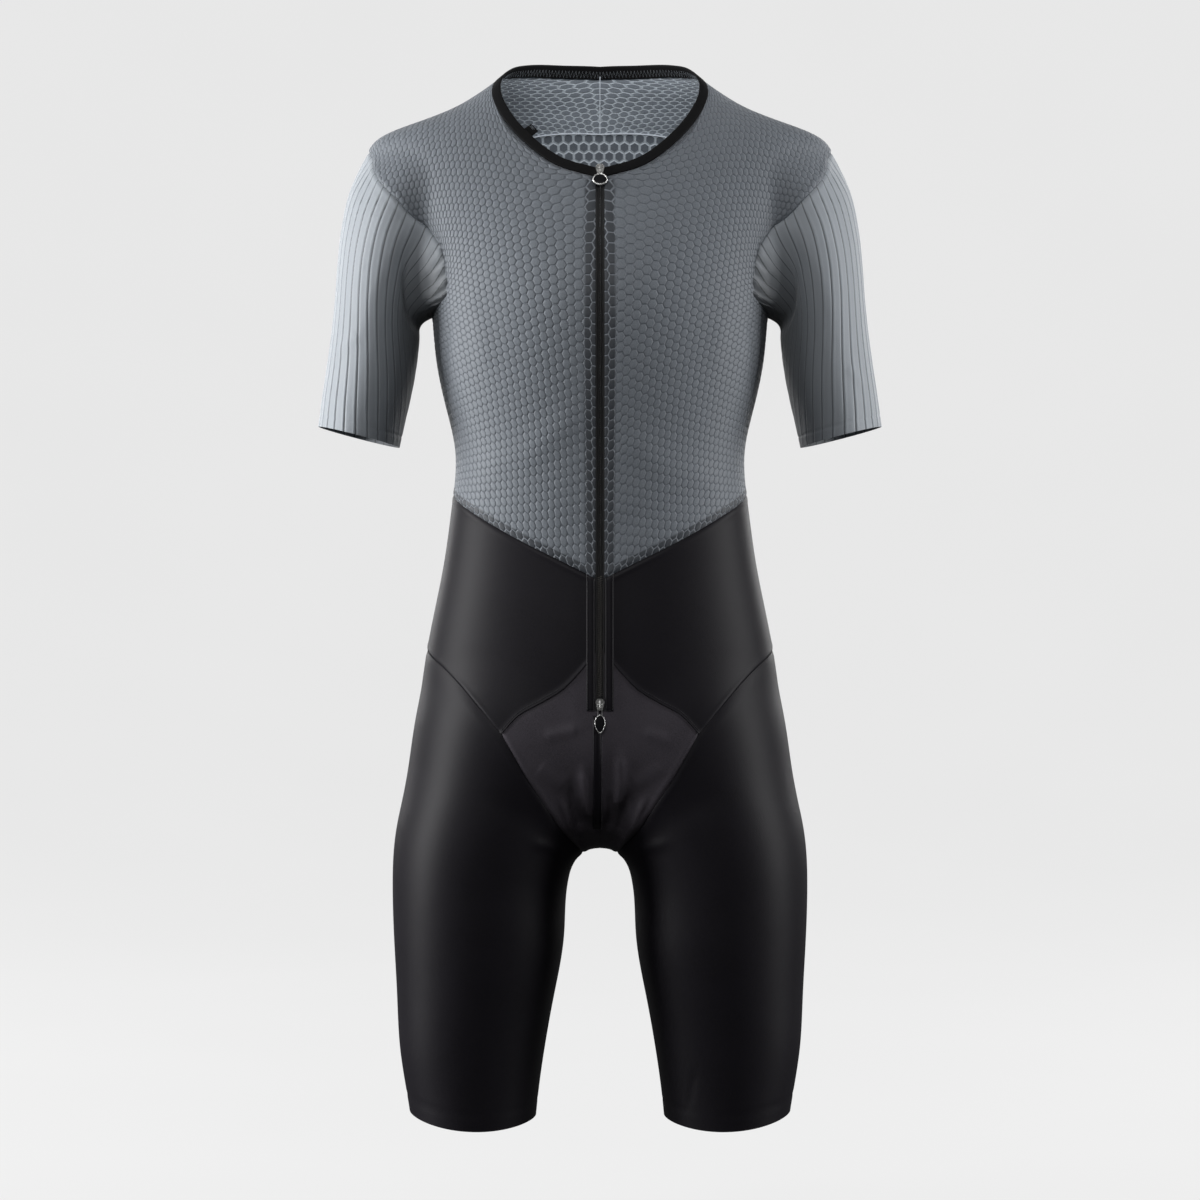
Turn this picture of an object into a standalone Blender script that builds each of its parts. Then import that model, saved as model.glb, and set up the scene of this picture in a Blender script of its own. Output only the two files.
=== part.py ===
"""Short-sleeved cycling skinsuit, worn shape with no wearer: every cut piece is a thin wall.

Metres, +Z up, the front faces -Y, the wearer's left is +X. Z = 0 is the level of the shoulders
beside the neck. The cloth's outer face lies on one smooth form, a general figure given by
sections at a few heights. Seams are curves on that form, and each panel is a grid between its
seams, settled on the form and given a thickness towards the inside.
"""

import math

import bmesh
import bpy
import numpy as np

CLOTH = 0.0012
SEAM_GAP = 0.0003
BINDING_WIDTH = 0.0092
BINDING_RAISE = 0.0005
PLACKET_WIDTH = 0.0086
PLACKET_CLOTH = 0.0010
TAPE_HALF_WIDTH = 0.0130
TAPE_CLOTH = 0.0010
ZIP_HALF_GAP = 0.0040
RIB_RAISE = 0.0007
RIB_POINTS = 3

# Heights of the suit's main levels.
ZIP_TOP = -0.0925
V_SEAM_CENTRE = -0.4600
LAP_SEAM_CENTRE = -0.5270
ZIP_END = -0.5800
V_SEAM_SIDE = -0.3780
HIP_POINT = -0.5240
UNDERARM = -0.2110

# The general figure's trunk: one row for each level, front and back measured from Y = 0.
TRUNK_COLUMNS = ("height", "half_width", "front", "back")
TRUNK = (
    (-0.800, 0.186, -0.088, 0.104),
    (-0.700, 0.184, -0.092, 0.112),
    (-0.640, 0.172, -0.099, 0.124),
    (-0.570, 0.1685, -0.104, 0.127),
    (-0.500, 0.1575, -0.104, 0.112),
    (-0.440, 0.1455, -0.102, 0.095),
    (-0.390, 0.1385, -0.102, 0.086),
    (-0.340, 0.1355, -0.104, 0.083),
    (-0.300, 0.1440, -0.108, 0.090),
    (-0.250, 0.1540, -0.113, 0.103),
    (-0.200, 0.1595, -0.114, 0.113),
    (-0.150, 0.1760, -0.103, 0.116),
    (-0.100, 0.2020, -0.082, 0.112),
    (-0.062, 0.2190, -0.066, 0.104),
    (-0.040, 0.2025, -0.056, 0.098),
    (-0.028, 0.1712, -0.051, 0.094),
    (-0.017, 0.1430, -0.047, 0.089),
    (-0.0056, 0.1220, -0.043, 0.084),
    (0.0056, 0.1050, -0.040, 0.077),
    (0.0170, 0.0900, -0.038, 0.070),
    (0.0360, 0.0740, -0.036, 0.058),
    (0.0600, 0.0640, -0.035, 0.048),
)
TRUNK_SQUARENESS = 2.2
TRUNK_ROUNDS_BELOW = -0.600
TRUNK_ROUNDING = 0.112

ARM_COLUMNS = ("height", "centre_x", "half_width", "centre_y", "half_depth")
ARM = (
    (-0.400, 0.2360, 0.0370, -0.006, 0.050),
    (-0.330, 0.2265, 0.0385, -0.002, 0.052),
    (-0.290, 0.2195, 0.0405, 0.000, 0.055),
    (-0.253, 0.2137, 0.0410, 0.003, 0.058),
    (-0.197, 0.2072, 0.0412, 0.006, 0.0625),
    (-0.140, 0.1945, 0.0495, 0.010, 0.065),
    (-0.100, 0.1810, 0.0555, 0.013, 0.062),
    (-0.060, 0.1680, 0.0560, 0.015, 0.056),
)
ARM_SQUARENESS = 2.0
ARM_ROUNDS_ABOVE = -0.095
ARM_ROUNDING = 0.046
ARM_ENDS_BELOW = -0.420

LEG_COLUMNS = ("height", "centre_x", "half_width", "centre_y", "half_depth")
LEG = (
    (-1.020, 0.1180, 0.0545, -0.004, 0.0620),
    (-0.960, 0.1190, 0.0592, -0.002, 0.0665),
    (-0.900, 0.1198, 0.0678, 0.000, 0.0745),
    (-0.850, 0.1168, 0.0738, 0.002, 0.0820),
    (-0.795, 0.1137, 0.0799, 0.004, 0.0900),
    (-0.750, 0.1130, 0.0820, 0.006, 0.0955),
    (-0.700, 0.1050, 0.0875, 0.008, 0.1010),
    (-0.640, 0.0900, 0.0885, 0.010, 0.1040),
    (-0.560, 0.0780, 0.0770, 0.010, 0.1000),
)
LEG_SQUARENESS = 2.1
LEG_ROUNDS_ABOVE = -0.600
LEG_ROUNDING = 0.080

ARM_BLEND = 0.009
LEG_BLEND = 0.024

# Seams in the wearer's left half. Each row is the x, y and z of a point near the form that the
# seam's curve runs through.
NECKLINE = (
    (0.0040, -0.077, ZIP_TOP),
    (0.0170, -0.076, -0.0910),
    (0.0400, -0.071, -0.0815),
    (0.0610, -0.061, -0.0670),
    (0.0785, -0.050, -0.0510),
    (0.0890, -0.038, -0.0370),
    (0.0960, -0.025, -0.0220),
    (0.0985, -0.010, -0.0060),
    (0.0950, 0.006, 0.0070),
    (0.0880, 0.022, 0.0155),
    (0.0740, 0.041, 0.0225),
    (0.0500, 0.057, 0.0258),
    (0.0250, 0.064, 0.0260),
    (0.0000, 0.066, 0.0255),
)

ARMHOLE = (
    (0.1590, 0.000, UNDERARM),
    (0.1500, -0.036, -0.2085),
    (0.1420, -0.060, -0.1990),
    (0.1440, -0.068, -0.1860),
    (0.1515, -0.070, -0.1700),
    (0.1565, -0.068, -0.1540),
    (0.1640, -0.063, -0.1380),
    (0.1735, -0.060, -0.1240),
    (0.1860, -0.054, -0.1110),
    (0.2010, -0.043, -0.0960),
    (0.2120, -0.028, -0.0790),
    (0.2175, -0.008, -0.0640),
    (0.2180, 0.014, -0.0570),
    (0.2160, 0.036, -0.0630),
    (0.2090, 0.056, -0.0790),
    (0.1980, 0.070, -0.1000),
    (0.1850, 0.080, -0.1240),
    (0.1720, 0.084, -0.1500),
    (0.1600, 0.080, -0.1760),
    (0.1530, 0.062, -0.1970),
    (0.1540, 0.034, -0.2085),
    (0.1590, 0.000, UNDERARM),
)

YOKE_SEAM = (
    (0.0000, 0.093, -0.0270),
    (0.0500, 0.090, -0.0285),
    (0.1000, 0.083, -0.0420),
    (0.1500, 0.074, -0.0620),
    (0.1980, 0.070, -0.1000),
)

V_SEAM = (
    (0.0040, -0.102, V_SEAM_CENTRE),
    (0.0360, -0.100, -0.4440),
    (0.0720, -0.088, -0.4255),
    (0.1050, -0.066, -0.4050),
    (0.1260, -0.040, -0.3900),
    (0.1380, 0.000, V_SEAM_SIDE),
)
BACK_WAIST_SEAM = (
    (0.0000, 0.092, -0.4300),
    (0.0500, 0.087, -0.4230),
    (0.0950, 0.066, -0.4060),
    (0.1250, 0.036, -0.3900),
    (0.1380, 0.000, V_SEAM_SIDE),
)

LEG_SEAM_FRONT = (
    (0.1630, 0.010, HIP_POINT),
    (0.1350, -0.062, -0.5500),
    (0.1150, -0.080, -0.5710),
    (0.0890, -0.094, -0.6010),
)
LEG_SEAM_CROTCH = (
    (0.0890, -0.094, -0.6010),
    (0.0770, -0.097, -0.6230),
    (0.0640, -0.096, -0.6460),
    (0.0500, -0.090, -0.6670),
    (0.0360, -0.072, -0.6900),
    (0.0240, -0.038, -0.7050),
    (0.0190, 0.010, -0.7130),
)
LEG_SEAM_BACK = (
    (0.0190, 0.010, -0.7130),
    (0.0240, 0.050, -0.7060),
    (0.0360, 0.088, -0.6880),
    (0.0560, 0.112, -0.6600),
    (0.0830, 0.116, -0.6280),
    (0.1120, 0.104, -0.5950),
    (0.1400, 0.075, -0.5580),
    (0.1630, 0.010, HIP_POINT),
)
LAP_SEAM = (
    (0.0040, -0.104, LAP_SEAM_CENTRE),
    (0.0120, -0.104, -0.5370),
    (0.0300, -0.103, -0.5570),
    (0.0480, -0.102, -0.5700),
    (0.0680, -0.099, -0.5800),
    (0.0890, -0.094, -0.6010),
)
CROTCH_DEPTH = -0.7050
CROSS_SEAM = (
    (0.0000, 0.010, CROTCH_DEPTH),
    (0.0100, 0.010, CROTCH_DEPTH - 0.004),
    (0.0190, 0.010, -0.7130),
)
CROTCH_CENTRE_SEAM = (
    (0.0000, -0.104, ZIP_END - 0.004),
    (0.0000, -0.100, -0.6300),
    (0.0000, -0.075, -0.6720),
    (0.0000, -0.035, -0.7000),
    (0.0000, 0.010, CROTCH_DEPTH),
)
SIDE_SEAM = (
    (0.1590, 0.000, UNDERARM),
    (0.1540, 0.000, -0.2450),
    (0.1430, 0.000, -0.3000),
    (0.1380, 0.000, V_SEAM_SIDE),
)
HIP_SEAM = (
    (0.1380, 0.000, V_SEAM_SIDE),
    (0.1480, 0.004, -0.4500),
    (0.1630, 0.010, HIP_POINT),
)
CENTRE_BACK_SEAM = (
    (0.0000, 0.066, 0.0255),
    (0.0000, 0.080, 0.0000),
    (0.0000, 0.093, -0.0270),
)
CUFF_OUTER = -0.3170
CUFF_INNER = -0.3360
HEM_SIDE = -0.9570
HEM_FRONT_DROP = 0.0080
HEM_INNER_DROP = 0.0050
LEG_PULLED_IN = 0.25

# How many steps each seam has. Panels that meet share these.
ACROSS = 10
HALF_LAP = 5
SIDE_STEPS = 8
WAIST_STEPS = 6
ARMHOLE_STEPS = 24
ARMHOLE_TO_YOKE = 15
ZIP_STEPS = 12
NECK_STEPS = 8
CENTRE_BACK_STEPS = 3
LEG_FRONT_STEPS = 5
CROTCH_STEPS = 9
BESIDE_STEPS = 3
PLACKET_STEPS = 8
LEG_BACK_STEPS = 16
LEG_ROWS = 11
SLEEVE_ROWS = 8
RELAX_ROUNDS = 60

# A sleeve turns from the armhole into rings round the arm over its first third, and the trunk is
# held off it from its first quarter on, so that its cloth keeps to the arm.
SLEEVE_EASES_OVER = 3
SLEEVE_LEAVES_OVER = 4
SLEEVE_TRUNK_AWAY = 0.050
SLEEVE_RELAX_ROUNDS = 12

# A grid's edges, each as the edge row and the row beside it.
FIRST_EDGE = ((0, 1),)
BOTH_EDGES = ((0, 1), (-1, -2))

# The tab in the neck: which step of the binding it hangs on, its share of that step and its rise.
NECK_TAB_STEP = 27
TAB_SHARES = (0.3, 0.9)
NECK_TAB_RISE = 0.0085
NECK_TAB_CLOTH = 0.0010

# Soft folds in the cloth: where each runs, its half width and how far it stands out or sinks.
FOLD_COLUMNS = ("start", "end", "half_width", "height")
FOLDS = (
    ((0.006, -0.060, -0.695), (0.060, -0.095, -0.620), 0.012, -0.0030),
    ((0.012, -0.040, -0.705), (0.100, -0.095, -0.660), 0.013, -0.0030),
    ((0.014, 0.060, -0.700), (0.080, 0.110, -0.640), 0.014, -0.0030),
    ((0.157, -0.050, -0.185), (0.190, -0.055, -0.235), 0.009, -0.0025),
    ((0.157, 0.060, -0.190), (0.190, 0.058, -0.245), 0.009, -0.0025),
)

FOLD_FADE = 1.15

UPPER_SLIDER_HEIGHT = -0.0860
LOWER_SLIDER_HEIGHT = -0.5740
SLIDER_LENGTH = 0.0104
SLIDER_WIDTH = 0.0082
SLIDER_KEEL_WIDTH = 0.0070
SLIDER_PLATE = 0.0013
# The slider's outline seen from the front, in shares of its half width and half length.
SLIDER_OUTLINE = (
    (-1.00, -0.50),
    (-0.55, -1.00),
    (0.55, -1.00),
    (1.00, -0.50),
    (0.72, 0.60),
    (0.50, 1.00),
    (-0.50, 1.00),
    (-0.72, 0.60),
)
KEEL_LENGTH_SHARE = 0.96
KEEL_SUNK = 0.0002
BRIDGE_SUNK = 0.0004
BRIDGE_HEIGHT = 0.0021
BRIDGE_HALF_LENGTH = 0.0034
BRIDGE_BAR = 0.0006
PULL_BAR_RADIUS = 0.0005
PULL_ARM_X = 0.0019
PULL_AXIS_ABOVE_PLATE = 0.0009
# Each pull's tab: its half width, half length and distance from the hinge to its middle.
ROUND_PULL_SIZE = (0.0070, 0.0060, 0.0118)
LEAF_PULL_SIZE = (0.0050, 0.0088, 0.0175)
PULL_THICKNESS = 0.0012
PULL_STEPS = 24
ARMS_REACH_SHARE = 0.92
LEAF_POINT = 0.45

COLOURS = {
    "grey_mesh": (0.235, 0.262, 0.290, 0.62),
    "grey_knit": (0.255, 0.280, 0.305, 0.55),
    "black_knit": (0.012, 0.012, 0.014, 0.50),
    "black_tape": (0.010, 0.010, 0.011, 0.70),
    "slider_metal": (0.520, 0.520, 0.515, 0.30),
}


def spline(knots, values):
    """A natural cubic curve through the values, straight past both ends."""
    order = np.argsort(knots)
    x = np.asarray(knots, float)[order]
    y = np.asarray(values, float)[order]
    step = np.diff(x)
    slope = np.diff(y) / step
    count = len(x)
    matrix = np.eye(count)
    right = np.zeros(count)
    for k in range(1, count - 1):
        matrix[k, k - 1 : k + 2] = (step[k - 1], 2 * (step[k - 1] + step[k]), step[k])
        right[k] = 6 * (slope[k] - slope[k - 1])
    bend = np.linalg.solve(matrix, right)

    def value(at):
        inside = np.clip(at, x[0], x[-1])
        k = np.clip(np.searchsorted(x, inside) - 1, 0, count - 2)
        t = inside - x[k]
        rate = slope[k] - step[k] * (2 * bend[k] + bend[k + 1]) / 6
        return y[k] + t * (rate + t * (bend[k] / 2 + t * (bend[k + 1] - bend[k]) / (6 * step[k])))

    return value


def section_curves(columns, rows):
    table = np.array(rows)
    return {name: spline(table[:, 0], table[:, k]) for k, name in enumerate(columns) if k}


TRUNK_AT = section_curves(TRUNK_COLUMNS, TRUNK)
ARM_AT = section_curves(ARM_COLUMNS, ARM)
LEG_AT = section_curves(LEG_COLUMNS, LEG)


def oval(across, along, half_width, half_depth, rounding, squareness):
    """How far a point is outside an oval section, about in metres."""
    reach = (
        np.abs(across / half_width) ** squareness
        + np.abs(along / half_depth) ** squareness
        + rounding**squareness
    ) ** (1 / squareness)
    return (reach - 1) * np.minimum(half_width, half_depth)


def joined(first, second, blend):
    """The union of two forms with a soft crease."""
    near = np.clip(blend - np.abs(first - second), 0, None) / blend
    return np.minimum(first, second) - near**2 * blend / 4


def form_gap(points, trunk_away=0.0):
    """How far each point is outside the figure. trunk_away moves the trunk off, for sleeve cloth."""
    x, y, z = points[..., 0], points[..., 1], points[..., 2]
    front, back = TRUNK_AT["front"](z), TRUNK_AT["back"](z)
    below = np.clip((TRUNK_ROUNDS_BELOW - z) / TRUNK_ROUNDING, 0, None)
    middle, depth = (front + back) / 2, (back - front) / 2
    trunk = oval(x, y - middle, TRUNK_AT["half_width"](z), depth, below, TRUNK_SQUARENESS)
    above = np.clip((z - ARM_ROUNDS_ABOVE) / ARM_ROUNDING, 0, None)
    above = above + np.clip((ARM_ENDS_BELOW - z) / ARM_ROUNDING, 0, None)
    arm_x, arm_y = np.abs(x) - ARM_AT["centre_x"](z), y - ARM_AT["centre_y"](z)
    arm = oval(arm_x, arm_y, ARM_AT["half_width"](z), ARM_AT["half_depth"](z), above, ARM_SQUARENESS)
    gap = joined(trunk + trunk_away, arm, ARM_BLEND)
    above = np.clip((z - LEG_ROUNDS_ABOVE) / LEG_ROUNDING, 0, None)
    sizes = (LEG_AT["half_width"](z), LEG_AT["half_depth"](z))
    leg_x, leg_y = LEG_AT["centre_x"](z), y - LEG_AT["centre_y"](z)
    legs = [oval(x - side * leg_x, leg_y, *sizes, above, LEG_SQUARENESS) for side in (-1, 1)]
    return joined(gap, joined(*legs, LEG_BLEND), LEG_BLEND)


def form_slope(points, trunk_away=0.0, step=0.0004):
    slope = np.empty_like(points)
    for axis in range(3):
        move = np.zeros(3)
        move[axis] = step
        ahead = form_gap(points + move, trunk_away)
        slope[..., axis] = (ahead - form_gap(points - move, trunk_away)) / (2 * step)
    return slope


def settled(points, rounds=6, trunk_away=0.0):
    """Points moved along the form's slope until they lie on it."""
    points = np.array(points, float)
    for _ in range(rounds):
        slope = form_slope(points, trunk_away)
        gap = form_gap(points, trunk_away)
        size = np.maximum((slope**2).sum(-1), 0.05)
        move = -(gap / size)[..., None] * slope
        points += np.clip(move, -0.02, 0.02)
    return points


def outward(points, trunk_away=0.0):
    slope = form_slope(points, trunk_away)
    return slope / np.linalg.norm(slope, axis=-1, keepdims=True)


def fold_height(points):
    """How far the folds lift the cloth at each point, the same on both sides."""
    same_side = np.array(points, float)
    same_side[..., 0] = np.abs(same_side[..., 0])
    height = np.zeros(points.shape[:-1])
    for start, end, half_width, lift in FOLDS:
        start, end = np.array(start), np.array(end)
        along = ((same_side - start) @ (end - start)) / ((end - start) @ (end - start))
        nearest = start + np.clip(along, 0, 1)[..., None] * (end - start)
        away = np.linalg.norm(same_side - nearest, axis=-1) / half_width
        fade = np.clip(FOLD_FADE - np.clip(along, 0, 1), 0, 1)
        height += lift * fade * np.exp(-(away**2))
    return height


def even_curve(points, steps, fine=240):
    """A smooth curve through the points, settled on the form, cut into even steps."""
    points = np.array(points, float)
    run = np.concatenate([[0], np.cumsum(np.linalg.norm(np.diff(points, axis=0), axis=1))])
    at = np.linspace(0, run[-1], fine)
    curve = np.stack([spline(run, points[:, k])(at) for k in range(3)], axis=1)
    curve = settled(curve, rounds=8)
    run = np.concatenate([[0], np.cumsum(np.linalg.norm(np.diff(curve, axis=0), axis=1))])
    at = np.linspace(0, run[-1], steps + 1)
    cut = np.stack([np.interp(at, run, curve[:, k]) for k in range(3)], axis=1)
    return settled(cut, rounds=3)


def straight_up(x, top, bottom, steps, y_guess=-0.1):
    """A line down the front at one x, as beside the zip."""
    heights = np.linspace(bottom, top, steps + 1)
    line = np.stack([np.full_like(heights, x), np.full_like(heights, y_guess), heights], axis=1)
    for _ in range(8):
        gap = form_gap(line)
        slope = form_slope(line)[:, 1]
        line[:, 1] -= np.clip(gap / np.where(np.abs(slope) < 0.2, -0.2, slope), -0.02, 0.02)
    return line


def halfway(points):
    """The same line with a point added in the middle of each step."""
    fine = np.empty((2 * len(points) - 1, 3))
    fine[::2] = points
    fine[1::2] = (points[1:] + points[:-1]) / 2
    return fine


def relaxed(grid, rounds=RELAX_ROUNDS, closed=False, trunk_away=0.0):
    """Inner points of a grid moved to the middle of their neighbours, kept on the form."""
    for turn in range(rounds):
        if closed:
            beside = np.roll(grid, 1, axis=1) + np.roll(grid, -1, axis=1)
            grid[1:-1] = (grid[:-2] + grid[2:] + beside[1:-1]) / 4
        else:
            across = grid[1:-1, :-2] + grid[1:-1, 2:]
            grid[1:-1, 1:-1] = (grid[:-2, 1:-1] + grid[2:, 1:-1] + across) / 4
        if turn % 3 == 2:
            grid[1:-1] = settled(grid[1:-1], 2, trunk_away)
    return grid


def between_edges(first, last, start, end):
    """A grid whose rows run from the first edge to the last, and whose end rows are given."""
    v = np.linspace(0, 1, len(start))[None, :, None]
    u = np.linspace(0, 1, len(first))[:, None, None]
    rows = first[:, None] * (1 - v) + last[:, None] * v
    ends = start[None] * (1 - u) + end[None] * u
    corners = (first[0] * (1 - u) + first[-1] * u) * (1 - v) + (last[0] * (1 - u) + last[-1] * u) * v
    grid = rows + ends - corners
    grid[1:-1, 1:-1] = settled(grid[1:-1, 1:-1], 10)
    grid[:, 0], grid[:, -1] = first, last
    grid[0], grid[-1] = start, end
    return relaxed(grid)


def mirrored(points):
    return points * np.array((-1, 1, 1))


def inset(grid, closed=False, gap=SEAM_GAP / 2, row_edges=BOTH_EDGES):
    """The grid with its edges drawn in by half of the seam gap."""
    grid = grid.copy()
    for edge, inner in row_edges:
        away = grid[inner] - grid[edge]
        grid[edge] += gap * away / np.linalg.norm(away, axis=-1, keepdims=True)
    if not closed:
        for edge, inner in BOTH_EDGES:
            away = grid[:, inner] - grid[:, edge]
            grid[:, edge] += gap * away / np.linalg.norm(away, axis=-1, keepdims=True)
    return grid


def new_object(name, mesh_points, faces, colour, collection):
    mesh = bpy.data.meshes.new(name)
    mesh.from_pydata([tuple(p) for p in mesh_points], [], faces)
    work = bmesh.new()
    work.from_mesh(mesh)
    bmesh.ops.recalc_face_normals(work, faces=work.faces)
    if work.calc_volume(signed=True) < 0:
        bmesh.ops.reverse_faces(work, faces=work.faces)
    work.to_mesh(mesh)
    work.free()
    mesh.shade_smooth()
    mesh.set_sharp_from_angle(angle=math.radians(40))
    mesh.materials.append(material(colour))
    made = bpy.data.objects.new(name, mesh)
    collection.objects.link(made)
    return made


def material(colour):
    """The Principled material of one cloth or metal."""
    found = bpy.data.materials.get(colour)
    if found:
        return found
    red, green, blue, roughness = COLOURS[colour]
    made = bpy.data.materials.new(colour)
    made.use_nodes = True
    surface = made.node_tree.nodes["Principled BSDF"]
    surface.inputs["Base Color"].default_value = (red, green, blue, 1)
    surface.inputs["Roughness"].default_value = roughness
    surface.inputs["Metallic"].default_value = 1.0 if colour == "slider_metal" else 0.0
    return made


def wall(name, grid, colour, collection, closed=False, raise_by=0.0, thick=CLOTH, trunk_away=0.0):
    """A cloth wall: the grid's points moved out, and again inwards, with the rim closed."""
    normal = outward(grid, trunk_away)
    outer = grid + normal * (raise_by + fold_height(grid))[..., None]
    inner = outer - normal * thick
    rows, columns = grid.shape[:2]
    points = np.concatenate([outer.reshape(-1, 3), inner.reshape(-1, 3)])
    behind = rows * columns
    faces = []
    around = columns if closed else columns - 1
    for i in range(rows - 1):
        for j in range(around):
            a, b = i * columns + j, i * columns + (j + 1) % columns
            c, d = b + columns, a + columns
            faces.append((a, b, c, d))
            faces.append((d + behind, c + behind, b + behind, a + behind))
    for i, turn in ((0, -1), (rows - 1, 1)):
        for j in range(around):
            a, b = i * columns + j, i * columns + (j + 1) % columns
            faces.append((a, b, b + behind, a + behind)[::turn])
    if not closed:
        for j, turn in ((0, 1), (columns - 1, -1)):
            for i in range(rows - 1):
                a, b = i * columns + j, (i + 1) * columns + j
                faces.append((a, b, b + behind, a + behind)[::turn])
    return new_object(name, points, faces, colour, collection)


def seam_curves():
    """Every seam of the wearer's left half, cut into its steps."""
    seams = {
        "zip": straight_up(ZIP_HALF_GAP, ZIP_TOP, V_SEAM_CENTRE, ZIP_STEPS),
        "zip_waist": straight_up(ZIP_HALF_GAP, V_SEAM_CENTRE, LAP_SEAM_CENTRE, WAIST_STEPS),
        "neckline": even_curve(NECKLINE, NECK_STEPS),
        "armhole": even_curve(ARMHOLE, ARMHOLE_STEPS),
        "v_seam": even_curve(V_SEAM, ACROSS),
        "back_waist": even_curve(BACK_WAIST_SEAM, ACROSS),
        "leg_front": even_curve(LEG_SEAM_FRONT, LEG_FRONT_STEPS),
        "leg_crotch": even_curve(LEG_SEAM_CROTCH, CROTCH_STEPS),
        "leg_back": even_curve(LEG_SEAM_BACK, LEG_BACK_STEPS),
        "lap": even_curve(LAP_SEAM, HALF_LAP),
        "side": even_curve(SIDE_SEAM, SIDE_STEPS)[::-1],
        "side_waist": even_curve(HIP_SEAM, WAIST_STEPS),
        "centre_back": even_curve(CENTRE_BACK_SEAM, CENTRE_BACK_STEPS),
        "cross": even_curve(CROSS_SEAM, HALF_LAP),
    }
    yoke_end = seams["armhole"][ARMHOLE_TO_YOKE]
    seams["yoke"] = even_curve(YOKE_SEAM[:-1] + (tuple(yoke_end),), ACROSS)
    joined_ends(seams)
    return seams


def joined_ends(seams):
    """Seams that meet share their last points exactly."""
    seams["neckline"][0] = seams["zip"][-1]
    seams["centre_back"][0] = seams["neckline"][-1]
    seams["yoke"][0] = seams["centre_back"][-1]
    seams["yoke"][-1] = seams["armhole"][ARMHOLE_TO_YOKE]
    seams["armhole"][-1] = seams["armhole"][0]
    seams["side"][-1] = seams["armhole"][0]
    seams["v_seam"][0] = seams["zip"][0]
    seams["v_seam"][-1] = seams["side"][0]
    seams["back_waist"][-1] = seams["side"][0]
    seams["zip_waist"][-1] = seams["v_seam"][0]
    seams["side_waist"][0] = seams["side"][0]
    seams["leg_front"][0] = seams["side_waist"][-1]
    seams["lap"][0] = seams["zip_waist"][0]
    seams["leg_front"][-1] = seams["lap"][-1]
    seams["leg_crotch"][0] = seams["lap"][-1]
    seams["leg_crotch"][-1] = seams["cross"][-1]
    seams["leg_back"][0] = seams["cross"][-1]
    seams["leg_back"][-1] = seams["side_waist"][-1]
    seams["centre_back"][:, 0] = 0
    for name in ("neckline", "yoke", "back_waist", "cross"):
        end = -1 if name == "neckline" else 0
        seams[name][end, 0] = 0


def front_grid(seams):
    """A front, from the V seam up the chest, over the shoulder and down to the yoke seam."""
    inner = np.concatenate([seams["zip"], seams["neckline"][1:], seams["centre_back"][1:]])
    outer = np.concatenate([seams["side"], seams["armhole"][1 : ARMHOLE_TO_YOKE + 1]])
    return between_edges(inner, outer, seams["v_seam"], seams["yoke"])


def back_grid(seams):
    """The lower back across both sides, from the yoke seam down to the back waist seam."""
    left = np.concatenate([seams["armhole"][ARMHOLE_TO_YOKE:], seams["side"][-2::-1]])
    top = np.concatenate([mirrored(seams["yoke"])[::-1], seams["yoke"][1:]])
    bottom = np.concatenate([mirrored(seams["back_waist"])[::-1], seams["back_waist"][1:]])
    return between_edges(mirrored(left), left, top, bottom)


def seat_grid(seams):
    left = np.concatenate([seams["side_waist"], seams["leg_back"][-2::-1]])
    top = np.concatenate([mirrored(seams["back_waist"])[::-1], seams["back_waist"][1:]])
    cross = halfway(seams["cross"])
    bottom = np.concatenate([mirrored(cross)[::-1], cross[1:]])
    return between_edges(mirrored(left), left, top, bottom)


def waist_grid(seams):
    bottom = np.concatenate([seams["lap"], seams["leg_front"][-2::-1]])
    inner = seams["zip_waist"][::-1]
    return between_edges(inner, seams["side_waist"], seams["v_seam"], bottom)


def crotch_centre():
    """The crotch front's inner edge: beside the zip to its end, then the centre seam."""
    beside = straight_up(ZIP_HALF_GAP, LAP_SEAM_CENTRE, ZIP_END, BESIDE_STEPS)[::-1]
    centre_line = even_curve(CROTCH_CENTRE_SEAM, CROTCH_STEPS - BESIDE_STEPS - 1)
    centre_line[:, 0] = 0
    return np.concatenate([beside, centre_line])


def crotch_grid(seams):
    inner = crotch_centre()
    inner[0], inner[-1] = seams["lap"][0], seams["cross"][0]
    return between_edges(inner, seams["leg_crotch"], seams["lap"], seams["cross"])


def leg_hem(turn):
    """The hem's point at a turn from the outer side towards the front."""
    x = LEG_AT["centre_x"](HEM_SIDE) + LEG_AT["half_width"](HEM_SIDE) * np.cos(turn)
    y = LEG_AT["centre_y"](HEM_SIDE) - LEG_AT["half_depth"](HEM_SIDE) * np.sin(turn)
    drop = HEM_FRONT_DROP * np.clip(np.sin(turn), 0, 1) ** 2 + HEM_INNER_DROP * (1 - np.cos(turn)) / 2
    return np.stack([x, y, HEM_SIDE - drop], axis=-1)


def leg_grid(seams):
    top = np.concatenate([seams["leg_front"], seams["leg_crotch"][1:], seams["leg_back"][1:-1]])
    turn = np.linspace(0, 2 * math.pi, len(top), endpoint=False)
    hem = settled(leg_hem(turn))
    v = np.linspace(0, 1, LEG_ROWS + 1)[:, None, None]
    grid = top[None] * (1 - v) + hem[None] * v
    inside = leg_axis(grid)
    grid[1:-1] = settled((grid + LEG_PULLED_IN * (inside - grid))[1:-1], 10)
    return relaxed(grid, closed=True)


def leg_axis(points):
    axis = points.copy()
    axis[..., 0] = LEG_AT["centre_x"](points[..., 2])
    axis[..., 1] = LEG_AT["centre_y"](points[..., 2])
    return axis


def sleeve_ring(turn, height):
    """Points round the arm at a height, from the underarm forwards."""
    x = ARM_AT["centre_x"](height) - ARM_AT["half_width"](height) * np.cos(turn)
    y = ARM_AT["centre_y"](height) - ARM_AT["half_depth"](height) * np.sin(turn)
    return np.stack([x, y, height], axis=-1)


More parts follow.
